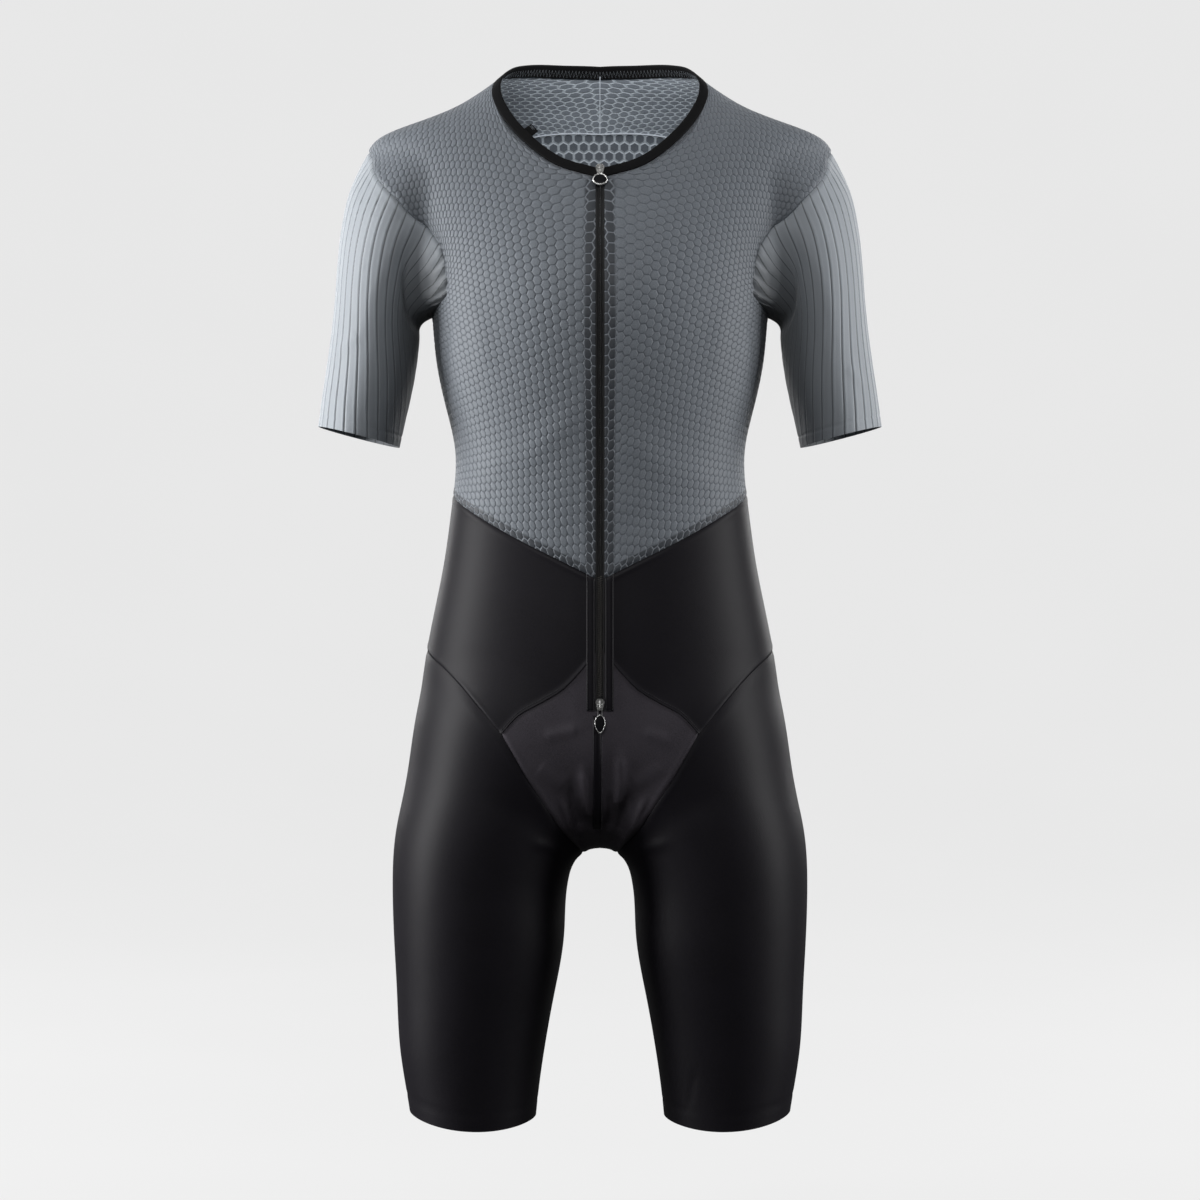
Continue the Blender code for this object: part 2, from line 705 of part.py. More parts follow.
def trunk_moved_off(rows):
    """How far the trunk is held off each sleeve row, so that sleeve cloth keeps to the arm."""
    return np.clip(np.linspace(0, 1, rows) * SLEEVE_LEAVES_OVER, 0, 1)[:, None] * SLEEVE_TRUNK_AWAY


def sleeve_grid(seams):
    top = seams["armhole"][:-1]
    turn = np.linspace(0, 2 * math.pi, len(top), endpoint=False)
    cuff_height = CUFF_INNER + (CUFF_OUTER - CUFF_INNER) * (1 - np.cos(turn)) / 2
    v = np.linspace(0, 1, SLEEVE_ROWS + 1)[:, None]
    heights = top[None, :, 2] * (1 - v) + cuff_height[None] * v
    rings = sleeve_ring(np.broadcast_to(turn, heights.shape), heights)
    on_arm = np.clip(v * SLEEVE_EASES_OVER, 0, 1)[..., None]
    on_arm = on_arm**2 * (3 - 2 * on_arm)
    straight = top[None] * (1 - v[..., None]) + rings[-1][None] * v[..., None]
    grid = straight * (1 - on_arm) + rings * on_arm
    away = trunk_moved_off(SLEEVE_ROWS + 1)
    grid[1:] = settled(grid[1:], 8, away[1:])
    grid = relaxed(grid, rounds=SLEEVE_RELAX_ROUNDS, closed=True, trunk_away=away[1:-1])
    return grid, away


def ribbed_sleeve(name, grid, away, collection):
    """A sleeve: three outer points to each inner one, so that each rib stands up over a plain inside."""
    rows, columns = grid.shape[:2]
    normal = outward(grid, away)
    lifted = grid + normal * fold_height(grid)[..., None]
    inner = lifted - normal * CLOTH
    after = np.roll(lifted, -1, axis=1)
    after_normal = np.roll(normal, -1, axis=1)
    outer = np.empty((rows, columns * RIB_POINTS, 3))
    raised = np.full((rows, 1, 1), RIB_RAISE)
    raised[0] = 0
    for k in range(RIB_POINTS):
        share = k / RIB_POINTS
        along = normal * (1 - share) + after_normal * share
        outer[:, k::RIB_POINTS] = lifted * (1 - share) + after * share + along * (raised if k else 0)
    points = np.concatenate([outer.reshape(-1, 3), inner.reshape(-1, 3)])
    wide = columns * RIB_POINTS
    behind = rows * wide
    faces = []
    for i in range(rows - 1):
        for j in range(wide):
            a, b = i * wide + j, i * wide + (j + 1) % wide
            faces.append((a, b, b + wide, a + wide))
        for j in range(columns):
            a, b = behind + i * columns + j, behind + i * columns + (j + 1) % columns
            faces.append((a + columns, b + columns, b, a))
    for i, turn in ((0, -1), (rows - 1, 1)):
        for j in range(columns):
            a, b = behind + i * columns + j, behind + i * columns + (j + 1) % columns
            rim = [i * wide + (j * RIB_POINTS + k) % wide for k in range(RIB_POINTS + 1)]
            faces.append((a, rim[0], rim[1])[::turn])
            faces.append((a, rim[1], rim[2], b)[::turn])
            faces.append((b, rim[2], rim[3])[::turn])
    return new_object(name, points, faces, "grey_knit", collection)


def binding_grid(seams):
    """The neck binding: from one side of the zip round the neck to the other."""
    left = halfway(seams["neckline"])
    edge = np.concatenate([left, mirrored(left)[-2::-1]])
    along = np.gradient(edge, axis=0)
    up = -np.cross(along, outward(edge))
    up /= np.linalg.norm(up, axis=1, keepdims=True)
    return edge, up


def build_binding(seams, collection):
    edge, up = binding_grid(seams)
    middle = settled(edge + up * BINDING_WIDTH / 2, 4)
    free = settled(edge + up * BINDING_WIDTH, 4)
    for line in (middle, free):
        line[0, 0], line[-1, 0] = ZIP_HALF_GAP, -ZIP_HALF_GAP
    grid = inset(np.stack([edge, middle, free]), row_edges=FIRST_EDGE)
    thick = CLOTH + BINDING_RAISE
    wall("neck_binding", grid, "black_tape", collection, raise_by=BINDING_RAISE, thick=thick)
    return grid


def build_neck_tab(binding, collection):
    """A small tab on the binding's inner face at the wearer's right front, standing above its edge."""
    normal = outward(binding)
    lines = []
    for share in TAB_SHARES:
        ends = [row[NECK_TAB_STEP] * (1 - share) + row[NECK_TAB_STEP + 1] * share for row in binding]
        out = normal[0, NECK_TAB_STEP] * (1 - share) + normal[0, NECK_TAB_STEP + 1] * share
        rise = (ends[2] - ends[1]) / np.linalg.norm(ends[2] - ends[1])
        points = [ends[1], ends[2], ends[2] + rise * NECK_TAB_RISE]
        lines.append([point - out * (CLOTH + SEAM_GAP) for point in points])
    outer = np.array(lines).transpose(1, 0, 2).reshape(-1, 3)
    inner = outer - out * NECK_TAB_CLOTH
    faces = grid_box_faces(3, len(TAB_SHARES))
    new_object("neck_tab", np.concatenate([outer, inner]), faces, "black_tape", collection)


def grid_box_faces(rows, columns):
    behind = rows * columns
    faces = []
    for i in range(rows - 1):
        for j in range(columns - 1):
            a, b = i * columns + j, i * columns + j + 1
            faces.append((a, b, b + columns, a + columns))
            faces.append(tuple(k + behind for k in (a + columns, b + columns, b, a)))
    rim = list(range(columns))
    rim += [i * columns + columns - 1 for i in range(1, rows)]
    rim += [(rows - 1) * columns + j for j in range(columns - 2, -1, -1)]
    rim += [i * columns for i in range(rows - 2, 0, -1)]
    for a, b in zip(rim, rim[1:] + rim[:1]):
        faces.append((b, a, a + behind, b + behind))
    return faces


def beside_zip(panel, x):
    """Points of a panel at a distance x from the zip's middle, one for each of its rows."""
    first, second = panel[:, 0], panel[:, 1]
    share = (x - first[:, 0]) / (second[:, 0] - first[:, 0])
    line = first + share[:, None] * (second - first)
    line[:, 1] = np.where(share < 0, first[:, 1], line[:, 1])
    line[:, 2] = np.where(share < 0, first[:, 2], line[:, 2])
    return line


def build_zip_tape(panels, binding_free, label, side, collection):
    """A tape behind the panels' edges, made from their own points."""
    lines = []
    for x in (SEAM_GAP / 2, ZIP_HALF_GAP, TAPE_HALF_WIDTH):
        top = settled(np.array([[x, binding_free[1], binding_free[2]]]), 4)
        rows = [top, beside_zip(panels["front"], x)[ZIP_STEPS::-1], beside_zip(panels["waist"], x)[1:]]
        rows.append(beside_zip(panels["crotch"], x)[1 : BESIDE_STEPS + 1])
        lines.append(np.concatenate(rows))
    grid = np.stack(lines, axis=1) * np.array((side, 1, 1))
    depth = -(CLOTH + SEAM_GAP)
    wall(f"zip_tape_{label}", grid, "black_tape", collection, raise_by=depth, thick=TAPE_CLOTH)


def build_placket(panels, label, side, collection):
    """A narrow strip lying on the lower panels beside the zip, made from their points moved out."""
    lines = []
    levels = np.linspace(V_SEAM_CENTRE, ZIP_END, PLACKET_STEPS + 1)[1:]
    for x in (ZIP_HALF_GAP + SEAM_GAP, ZIP_HALF_GAP + PLACKET_WIDTH):
        below_lap = beside_zip(panels["crotch"], x)[1 : BESIDE_STEPS + 2]
        line = np.concatenate([beside_zip(panels["waist"], x), below_lap])
        depths = np.interp(-levels, -line[:, 2], line[:, 1])
        below = np.stack([np.full_like(levels, x), depths, levels], axis=1)
        lines.append(np.concatenate([line[:1], below]))
    grid = np.stack(lines, axis=1) * np.array((side, 1, 1))
    grid = inset(grid, row_edges=FIRST_EDGE, gap=SEAM_GAP)
    raised = PLACKET_CLOTH + SEAM_GAP
    wall(f"placket_{label}", grid, "black_knit", collection, raise_by=raised, thick=PLACKET_CLOTH)


def zip_frame(height):
    """Where the zip is at a height: its point, the way down along it and the way out."""
    point = straight_up(0.0, height, height, 1)[:1]
    out = outward(point)[0]
    out[0] = 0
    out /= np.linalg.norm(out)
    down = np.cross(out, (1.0, 0.0, 0.0))
    down *= -1 if down[2] > 0 else 1
    return point[0], down, out


def placed(made, point, down, out):
    """An object modelled with X across, Y down the zip and Z out, put on the suit."""
    matrix = made.matrix_world.copy()
    across = np.cross(down, out)
    for row in range(3):
        matrix[row][0] = across[row]
        matrix[row][1] = down[row]
        matrix[row][2] = out[row]
        matrix[row][3] = point[row]
    made.matrix_world = matrix


def mesh_from_curve(curve_object, name, collection):
    """The curve object's own mesh, its caps welded, in place of the curve."""
    bpy.context.view_layer.update()
    evaluated = curve_object.evaluated_get(bpy.context.evaluated_depsgraph_get())
    mesh = bpy.data.meshes.new_from_object(evaluated)
    work = bmesh.new()
    work.from_mesh(mesh)
    bmesh.ops.remove_doubles(work, verts=work.verts, dist=0.00001)
    bmesh.ops.recalc_face_normals(work, faces=work.faces)
    work.to_mesh(mesh)
    work.free()
    made = bpy.data.objects.new(name, mesh)
    made.matrix_world = curve_object.matrix_world
    collection.objects.link(made)
    bpy.data.objects.remove(curve_object)
    made.name = name
    return made


def bar(name, points, radius, collection, closed=False):
    """A round bar through the points."""
    curve = bpy.data.curves.new(name, "CURVE")
    curve.dimensions = "3D"
    curve.bevel_depth = radius
    curve.bevel_resolution = 1
    curve.use_fill_caps = True
    line = curve.splines.new("POLY")
    line.points.add(len(points) - 1)
    for spot, place in zip(line.points, points):
        spot.co = (*place, 1)
    line.use_cyclic_u = closed
    made = bpy.data.objects.new(name, curve)
    collection.objects.link(made)
    return mesh_from_curve(made, name, collection)


def flat_plate(name, outline, thickness, bottom, collection):
    """A flat plate from an outline, standing on the level bottom."""
    curve = bpy.data.curves.new(name, "CURVE")
    curve.dimensions = "2D"
    curve.fill_mode = "BOTH"
    curve.extrude = thickness / 2
    line = curve.splines.new("POLY")
    line.points.add(len(outline) - 1)
    for spot, (x, y) in zip(line.points, outline):
        spot.co = (x, y, 0, 1)
    line.use_cyclic_u = True
    made = bpy.data.objects.new(name, curve)
    collection.objects.link(made)
    plate = mesh_from_curve(made, name, collection)
    for vertex in plate.data.vertices:
        vertex.co.z += bottom + thickness / 2
    return plate


def united(first, *others):
    """The first object with the others joined to it by Boolean unions."""
    for other in others:
        union = first.modifiers.new("join", "BOOLEAN")
        union.operation = "UNION"
        union.object = other
    bpy.context.view_layer.update()
    evaluated = first.evaluated_get(bpy.context.evaluated_depsgraph_get())
    mesh = bpy.data.meshes.new_from_object(evaluated)
    first.modifiers.clear()
    first.data = mesh
    for other in others:
        bpy.data.objects.remove(other)
    mesh.shade_smooth()
    mesh.set_sharp_from_angle(angle=math.radians(35))
    mesh.materials.clear()
    mesh.materials.append(material("slider_metal"))
    return first


def build_slider(name, height, collection):
    """A slider on the zip: a keel between the panels, a plate above them and a bridge for the pull."""
    half, wide = SLIDER_LENGTH / 2, SLIDER_WIDTH / 2
    outline = [(wide * across, half * along) for across, along in SLIDER_OUTLINE]
    keel = [(x * SLIDER_KEEL_WIDTH / SLIDER_WIDTH, y * KEEL_LENGTH_SHARE) for x, y in outline]
    bottom = -CLOTH
    plate_bottom = BINDING_RAISE + SEAM_GAP
    keel_height = plate_bottom - bottom + KEEL_SUNK
    keel_plate = flat_plate(f"{name}_keel", keel, keel_height, bottom, collection)
    plate = flat_plate(name, outline, SLIDER_PLATE, plate_bottom, collection)
    top = plate_bottom + SLIDER_PLATE
    foot, rise = top - BRIDGE_SUNK, top + BRIDGE_HEIGHT
    reach, round_off = BRIDGE_HALF_LENGTH, BRIDGE_BAR
    arch = [(0, -reach, foot), (0, -reach, rise - round_off), (0, -reach + round_off, rise)]
    arch += [(0, reach - round_off, rise), (0, reach, rise - round_off), (0, reach, foot)]
    bridge = bar(f"{name}_bridge", arch, BRIDGE_BAR, collection)
    slider = united(plate, keel_plate, bridge)
    point, down, out = zip_frame(height)
    placed(slider, point, down, out)
    return point + out * (top + PULL_AXIS_ABOVE_PLATE), down, out


def ellipse_outline(half_x, half_y, centre_y, point):
    """An oval, drawn to a point at its far end where point is above 0."""
    outline = []
    for k in range(PULL_STEPS):
        turn = 2 * math.pi * k / PULL_STEPS
        narrow = 1 - point * max(0.0, math.sin(turn)) ** 2
        outline.append((half_x * math.cos(turn) * narrow, centre_y + half_y * math.sin(turn)))
    return outline


def build_pull(name, hinge, down, out, sizes, point, collection):
    """A pull: a bar under the bridge, two arms and the tab, its origin on the hinge axis."""
    half_x, half_y, centre = sizes
    shoulder = centre - half_y * ARMS_REACH_SHARE
    loop = [(-PULL_ARM_X, 0, 0), (PULL_ARM_X, 0, 0), (PULL_ARM_X, shoulder, 0), (-PULL_ARM_X, shoulder, 0)]
    ring = bar(f"{name}_loop", loop, PULL_BAR_RADIUS, collection, closed=True)
    outline = ellipse_outline(half_x, half_y, centre, point)
    tab = flat_plate(name, outline, PULL_THICKNESS, -PULL_THICKNESS / 2, collection)
    pull = united(tab, ring)
    placed(pull, hinge, down, out)
    return pull


def build_panels(seams, collection):
    sides = ((1, "left"), (-1, "right"))
    colours = {"front": "grey_mesh", "waist": "black_knit", "crotch": "black_knit"}
    panels = {"front": front_grid(seams), "waist": waist_grid(seams), "crotch": crotch_grid(seams)}
    for name, grid in panels.items():
        for side, label in sides:
            flip = np.array((side, 1, 1))
            wall(f"{name}_panel_{label}", inset(grid) * flip, colours[name], collection)
    wall("back_panel", inset(back_grid(seams)), "grey_mesh", collection)
    wall("seat_panel", inset(seat_grid(seams)), "black_knit", collection)
    leg = inset(leg_grid(seams), closed=True, row_edges=FIRST_EDGE)
    sleeve, away = sleeve_grid(seams)
    sleeve = inset(sleeve, closed=True, row_edges=FIRST_EDGE)
    binding = build_binding(seams, collection)
    build_neck_tab(binding, collection)
    for side, label in sides:
        flip = np.array((side, 1, 1))
        wall(f"leg_panel_{label}", leg * flip, "black_knit", collection, closed=True)
        ribbed_sleeve(f"sleeve_{label}", sleeve * flip, away, collection)
        build_zip_tape(panels, binding[-1, 0], label, side, collection)
        build_placket(panels, label, side, collection)


def clear_scene():
    for old in list(bpy.data.objects):
        bpy.data.objects.remove(old, do_unlink=True)


def main():
    clear_scene()
    collection = bpy.data.collections.new("cycling_skinsuit")
    bpy.context.scene.collection.children.link(collection)
    seams = seam_curves()
    build_panels(seams, collection)
    upper = build_slider("upper_slider", UPPER_SLIDER_HEIGHT, collection)
    lower = build_slider("lower_slider", LOWER_SLIDER_HEIGHT, collection)
    build_pull("upper_pull", *upper, ROUND_PULL_SIZE, 0.0, collection)
    build_pull("lower_pull", *lower, LEAF_PULL_SIZE, LEAF_POINT, collection)


main()
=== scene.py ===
"""The look of a short-sleeved cycling skinsuit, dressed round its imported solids.

Metres, +Z up, the suit's front faces -Y and the wearer's left is +X. The form, the seams and the
panels' grids are those of the solids. Each panel is made finer, set on the form again, and then
given its folds, its seams and the relief of its cloth. The mesh panels carry the cells of their
relief as coordinates, so the cloth's colour and its shape come from the same cells.
"""

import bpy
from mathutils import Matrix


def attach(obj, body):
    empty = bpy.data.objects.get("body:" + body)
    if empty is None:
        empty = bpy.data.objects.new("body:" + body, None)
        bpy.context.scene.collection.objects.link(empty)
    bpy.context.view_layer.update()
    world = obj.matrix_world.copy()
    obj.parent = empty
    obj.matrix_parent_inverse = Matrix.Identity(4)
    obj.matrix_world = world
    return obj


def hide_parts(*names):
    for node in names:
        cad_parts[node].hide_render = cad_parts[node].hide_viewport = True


bl_info = {
    "name": "Cycling Skinsuit",
    "version": (1, 0, 0),
    "blender": (4, 5, 0),
    "location": "View3D > Sidebar > Skinsuit",
    "description": "Cloth, sewing, zip and studio of a worn cycling skinsuit",
    "category": "Add Mesh",
}

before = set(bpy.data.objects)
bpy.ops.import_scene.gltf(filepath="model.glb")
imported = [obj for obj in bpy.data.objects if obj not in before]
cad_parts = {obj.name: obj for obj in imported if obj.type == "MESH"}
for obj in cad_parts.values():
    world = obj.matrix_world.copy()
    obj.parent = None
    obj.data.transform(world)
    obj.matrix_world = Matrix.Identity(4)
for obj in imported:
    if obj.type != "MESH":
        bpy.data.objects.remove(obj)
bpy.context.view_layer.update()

import functools
import math

import bmesh
import bpy
import numpy as np
from bpy.props import FloatProperty, FloatVectorProperty, IntProperty, PointerProperty
from mathutils import Vector

CLOTH = 0.0012
SEAM_GAP = 0.0003
BINDING_WIDTH = 0.0092
BINDING_RAISE = 0.0005
PLACKET_WIDTH = 0.0086
PLACKET_CLOTH = 0.0010
TAPE_CLOTH = 0.0010
ZIP_HALF_GAP = 0.0040
RIB_RAISE = 0.0007
# Heights of the suit's main levels.
ZIP_TOP = -0.0925
V_SEAM_CENTRE = -0.4600
LAP_SEAM_CENTRE = -0.5270
ZIP_END = -0.5800
V_SEAM_SIDE = -0.3780
HIP_POINT = -0.5240
UNDERARM = -0.2110
# The general figure's trunk: one row for each level, front and back measured from Y = 0.
TRUNK_COLUMNS = ("height", "half_width", "front", "back")
TRUNK = (
    (-0.800, 0.186, -0.088, 0.104),
    (-0.700, 0.184, -0.092, 0.112),
    (-0.640, 0.172, -0.099, 0.124),
    (-0.570, 0.1685, -0.104, 0.127),
    (-0.500, 0.1575, -0.104, 0.112),
    (-0.440, 0.1455, -0.102, 0.095),
    (-0.390, 0.1385, -0.102, 0.086),
    (-0.340, 0.1355, -0.104, 0.083),
    (-0.300, 0.1440, -0.108, 0.090),
    (-0.250, 0.1540, -0.113, 0.103),
    (-0.200, 0.1595, -0.114, 0.113),
    (-0.150, 0.1760, -0.103, 0.116),
    (-0.100, 0.2020, -0.082, 0.112),
    (-0.062, 0.2190, -0.066, 0.104),
    (-0.040, 0.2025, -0.056, 0.098),
    (-0.028, 0.1712, -0.051, 0.094),
    (-0.017, 0.1430, -0.047, 0.089),
    (-0.0056, 0.1220, -0.043, 0.084),
    (0.0056, 0.1050, -0.040, 0.077),
    (0.0170, 0.0900, -0.038, 0.070),
    (0.0360, 0.0740, -0.036, 0.058),
    (0.0600, 0.0640, -0.035, 0.048),
)
TRUNK_SQUARENESS = 2.2
TRUNK_ROUNDS_BELOW = -0.600
TRUNK_ROUNDING = 0.112
ARM_COLUMNS = ("height", "centre_x", "half_width", "centre_y", "half_depth")
ARM = (
    (-0.400, 0.2360, 0.0370, -0.006, 0.050),
    (-0.330, 0.2265, 0.0385, -0.002, 0.052),
    (-0.290, 0.2195, 0.0405, 0.000, 0.055),
    (-0.253, 0.2137, 0.0410, 0.003, 0.058),
    (-0.197, 0.2072, 0.0412, 0.006, 0.0625),
    (-0.140, 0.1945, 0.0495, 0.010, 0.065),
    (-0.100, 0.1810, 0.0555, 0.013, 0.062),
    (-0.060, 0.1680, 0.0560, 0.015, 0.056),
)
ARM_SQUARENESS = 2.0
ARM_ROUNDS_ABOVE = -0.095
ARM_ROUNDING = 0.046
ARM_ENDS_BELOW = -0.420
LEG_COLUMNS = ("height", "centre_x", "half_width", "centre_y", "half_depth")
LEG = (
    (-1.020, 0.1180, 0.0545, -0.004, 0.0620),
    (-0.960, 0.1190, 0.0592, -0.002, 0.0665),
    (-0.900, 0.1198, 0.0678, 0.000, 0.0745),
    (-0.850, 0.1168, 0.0738, 0.002, 0.0820),
    (-0.795, 0.1137, 0.0799, 0.004, 0.0900),
    (-0.750, 0.1130, 0.0820, 0.006, 0.0955),
    (-0.700, 0.1050, 0.0875, 0.008, 0.1010),
    (-0.640, 0.0900, 0.0885, 0.010, 0.1040),
    (-0.560, 0.0780, 0.0770, 0.010, 0.1000),
)
LEG_SQUARENESS = 2.1
LEG_ROUNDS_ABOVE = -0.600
LEG_ROUNDING = 0.080
ARM_BLEND = 0.009
LEG_BLEND = 0.024
# Seams in the wearer's left half. Each row is the x, y and z of a point near the form that the
# seam's curve runs through.
NECKLINE = (
    (0.0040, -0.077, ZIP_TOP),
    (0.0170, -0.076, -0.0910),
    (0.0400, -0.071, -0.0815),
    (0.0610, -0.061, -0.0670),
    (0.0785, -0.050, -0.0510),
    (0.0890, -0.038, -0.0370),
    (0.0960, -0.025, -0.0220),
    (0.0985, -0.010, -0.0060),
    (0.0950, 0.006, 0.0070),
    (0.0880, 0.022, 0.0155),
    (0.0740, 0.041, 0.0225),
    (0.0500, 0.057, 0.0258),
    (0.0250, 0.064, 0.0260),
    (0.0000, 0.066, 0.0255),
)
ARMHOLE = (
    (0.1590, 0.000, UNDERARM),
    (0.1500, -0.036, -0.2085),
    (0.1420, -0.060, -0.1990),
    (0.1440, -0.068, -0.1860),
    (0.1515, -0.070, -0.1700),
    (0.1565, -0.068, -0.1540),
    (0.1640, -0.063, -0.1380),
    (0.1735, -0.060, -0.1240),
    (0.1860, -0.054, -0.1110),
    (0.2010, -0.043, -0.0960),
    (0.2120, -0.028, -0.0790),
    (0.2175, -0.008, -0.0640),
    (0.2180, 0.014, -0.0570),
    (0.2160, 0.036, -0.0630),
    (0.2090, 0.056, -0.0790),
    (0.1980, 0.070, -0.1000),
    (0.1850, 0.080, -0.1240),
    (0.1720, 0.084, -0.1500),
    (0.1600, 0.080, -0.1760),
    (0.1530, 0.062, -0.1970),
    (0.1540, 0.034, -0.2085),
    (0.1590, 0.000, UNDERARM),
)
YOKE_SEAM = (
    (0.0000, 0.093, -0.0270),
    (0.0500, 0.090, -0.0285),
    (0.1000, 0.083, -0.0420),
    (0.1500, 0.074, -0.0620),
    (0.1980, 0.070, -0.1000),
)
V_SEAM = (
    (0.0040, -0.102, V_SEAM_CENTRE),
    (0.0360, -0.100, -0.4440),
    (0.0720, -0.088, -0.4255),
    (0.1050, -0.066, -0.4050),
    (0.1260, -0.040, -0.3900),
    (0.1380, 0.000, V_SEAM_SIDE),
)
BACK_WAIST_SEAM = (
    (0.0000, 0.092, -0.4300),
    (0.0500, 0.087, -0.4230),
    (0.0950, 0.066, -0.4060),
    (0.1250, 0.036, -0.3900),
    (0.1380, 0.000, V_SEAM_SIDE),
)
LEG_SEAM_FRONT = (
    (0.1630, 0.010, HIP_POINT),
    (0.1350, -0.062, -0.5500),
    (0.1150, -0.080, -0.5710),
    (0.0890, -0.094, -0.6010),
)
LEG_SEAM_CROTCH = (
    (0.0890, -0.094, -0.6010),
    (0.0770, -0.097, -0.6230),
    (0.0640, -0.096, -0.6460),
    (0.0500, -0.090, -0.6670),
    (0.0360, -0.072, -0.6900),
    (0.0240, -0.038, -0.7050),
    (0.0190, 0.010, -0.7130),
)
LEG_SEAM_BACK = (
    (0.0190, 0.010, -0.7130),
    (0.0240, 0.050, -0.7060),
    (0.0360, 0.088, -0.6880),
    (0.0560, 0.112, -0.6600),
    (0.0830, 0.116, -0.6280),
    (0.1120, 0.104, -0.5950),
    (0.1400, 0.075, -0.5580),
    (0.1630, 0.010, HIP_POINT),
)
LAP_SEAM = (
    (0.0040, -0.104, LAP_SEAM_CENTRE),
    (0.0120, -0.104, -0.5370),
    (0.0300, -0.103, -0.5570),
    (0.0480, -0.102, -0.5700),
    (0.0680, -0.099, -0.5800),
    (0.0890, -0.094, -0.6010),
)
CROTCH_DEPTH = -0.7050
CROSS_SEAM = (
    (0.0000, 0.010, CROTCH_DEPTH),
    (0.0100, 0.010, CROTCH_DEPTH - 0.004),
    (0.0190, 0.010, -0.7130),
)
CROTCH_CENTRE_SEAM = (
    (0.0000, -0.104, ZIP_END - 0.004),
    (0.0000, -0.100, -0.6300),
    (0.0000, -0.075, -0.6720),
    (0.0000, -0.035, -0.7000),
    (0.0000, 0.010, CROTCH_DEPTH),
)
SIDE_SEAM = (
    (0.1590, 0.000, UNDERARM),
    (0.1540, 0.000, -0.2450),
    (0.1430, 0.000, -0.3000),
    (0.1380, 0.000, V_SEAM_SIDE),
)
HIP_SEAM = (
    (0.1380, 0.000, V_SEAM_SIDE),
    (0.1480, 0.004, -0.4500),
    (0.1630, 0.010, HIP_POINT),
)
CENTRE_BACK_SEAM = (
    (0.0000, 0.066, 0.0255),
    (0.0000, 0.080, 0.0000),
    (0.0000, 0.093, -0.0270),
)
CUFF_OUTER = -0.3170
CUFF_INNER = -0.3360
HEM_SIDE = -0.9570
HEM_FRONT_DROP = 0.0080
HEM_INNER_DROP = 0.0050
LEG_PULLED_IN = 0.25
# How many steps each seam has. Panels that meet share these.
ACROSS = 10
HALF_LAP = 5
SIDE_STEPS = 8
WAIST_STEPS = 6
ARMHOLE_STEPS = 24
ARMHOLE_TO_YOKE = 15
ZIP_STEPS = 12
NECK_STEPS = 8
CENTRE_BACK_STEPS = 3
LEG_FRONT_STEPS = 5
CROTCH_STEPS = 9
BESIDE_STEPS = 3
LEG_BACK_STEPS = 16
LEG_ROWS = 11
SLEEVE_ROWS = 8
RELAX_ROUNDS = 60
# A sleeve turns from the armhole into rings round the arm over its first third, and the trunk is
# held off it from its first quarter on, so that its cloth keeps to the arm.
SLEEVE_EASES_OVER = 3
SLEEVE_LEAVES_OVER = 4
SLEEVE_TRUNK_AWAY = 0.050
SLEEVE_RELAX_ROUNDS = 12
# Limits that keep a search for the form's surface steady.
LEAST_SLOPE = 0.05
FLATTEST_FRONT = 0.2
LONGEST_MOVE = 0.02
# A grid's edges, each as the edge row and the row beside it.
FIRST_EDGE = ((0, 1),)
BOTH_EDGES = ((0, 1), (-1, -2))


def spline(knots, values):
    """A natural cubic curve through the values, straight past both ends."""
    order = np.argsort(knots)
    x = np.asarray(knots, float)[order]
    y = np.asarray(values, float)[order]
    step = np.diff(x)
    slope = np.diff(y) / step
    count = len(x)
    matrix = np.eye(count)
    right = np.zeros(count)
    for k in range(1, count - 1):
        matrix[k, k - 1 : k + 2] = (step[k - 1], 2 * (step[k - 1] + step[k]), step[k])
        right[k] = 6 * (slope[k] - slope[k - 1])
    bend = np.linalg.solve(matrix, right)

    def value(at):
        inside = np.clip(at, x[0], x[-1])
        k = np.clip(np.searchsorted(x, inside) - 1, 0, count - 2)
        t = inside - x[k]
        rate = slope[k] - step[k] * (2 * bend[k] + bend[k + 1]) / 6
        return y[k] + t * (rate + t * (bend[k] / 2 + t * (bend[k + 1] - bend[k]) / (6 * step[k])))

    return value


def section_curves(columns, rows):
    table = np.array(rows)
    return {name: spline(table[:, 0], table[:, k]) for k, name in enumerate(columns) if k}


def lengths_along(line):
    return np.concatenate([[0], np.cumsum(np.linalg.norm(np.diff(line, axis=0), axis=1))])


def at_lengths(line, run, wanted):
    """Points of a line, or of values along it, at wanted lengths."""
    return np.stack([np.interp(wanted, run, line[:, k]) for k in range(line.shape[1])], axis=1)


def on_side(line, side):
    return line * np.array((side, 1, 1))


TRUNK_AT = section_curves(TRUNK_COLUMNS, TRUNK)
ARM_AT = section_curves(ARM_COLUMNS, ARM)
LEG_AT = section_curves(LEG_COLUMNS, LEG)


def oval(across, along, half_width, half_depth, rounding, squareness):
    """How far a point is outside an oval section, about in metres."""
    reach = (
        np.abs(across / half_width) ** squareness
        + np.abs(along / half_depth) ** squareness
        + rounding**squareness
    ) ** (1 / squareness)
    return (reach - 1) * np.minimum(half_width, half_depth)


def joined(first, second, blend):
    """The union of two forms with a soft crease."""
    near = np.clip(blend - np.abs(first - second), 0, None) / blend
    return np.minimum(first, second) - near**2 * blend / 4


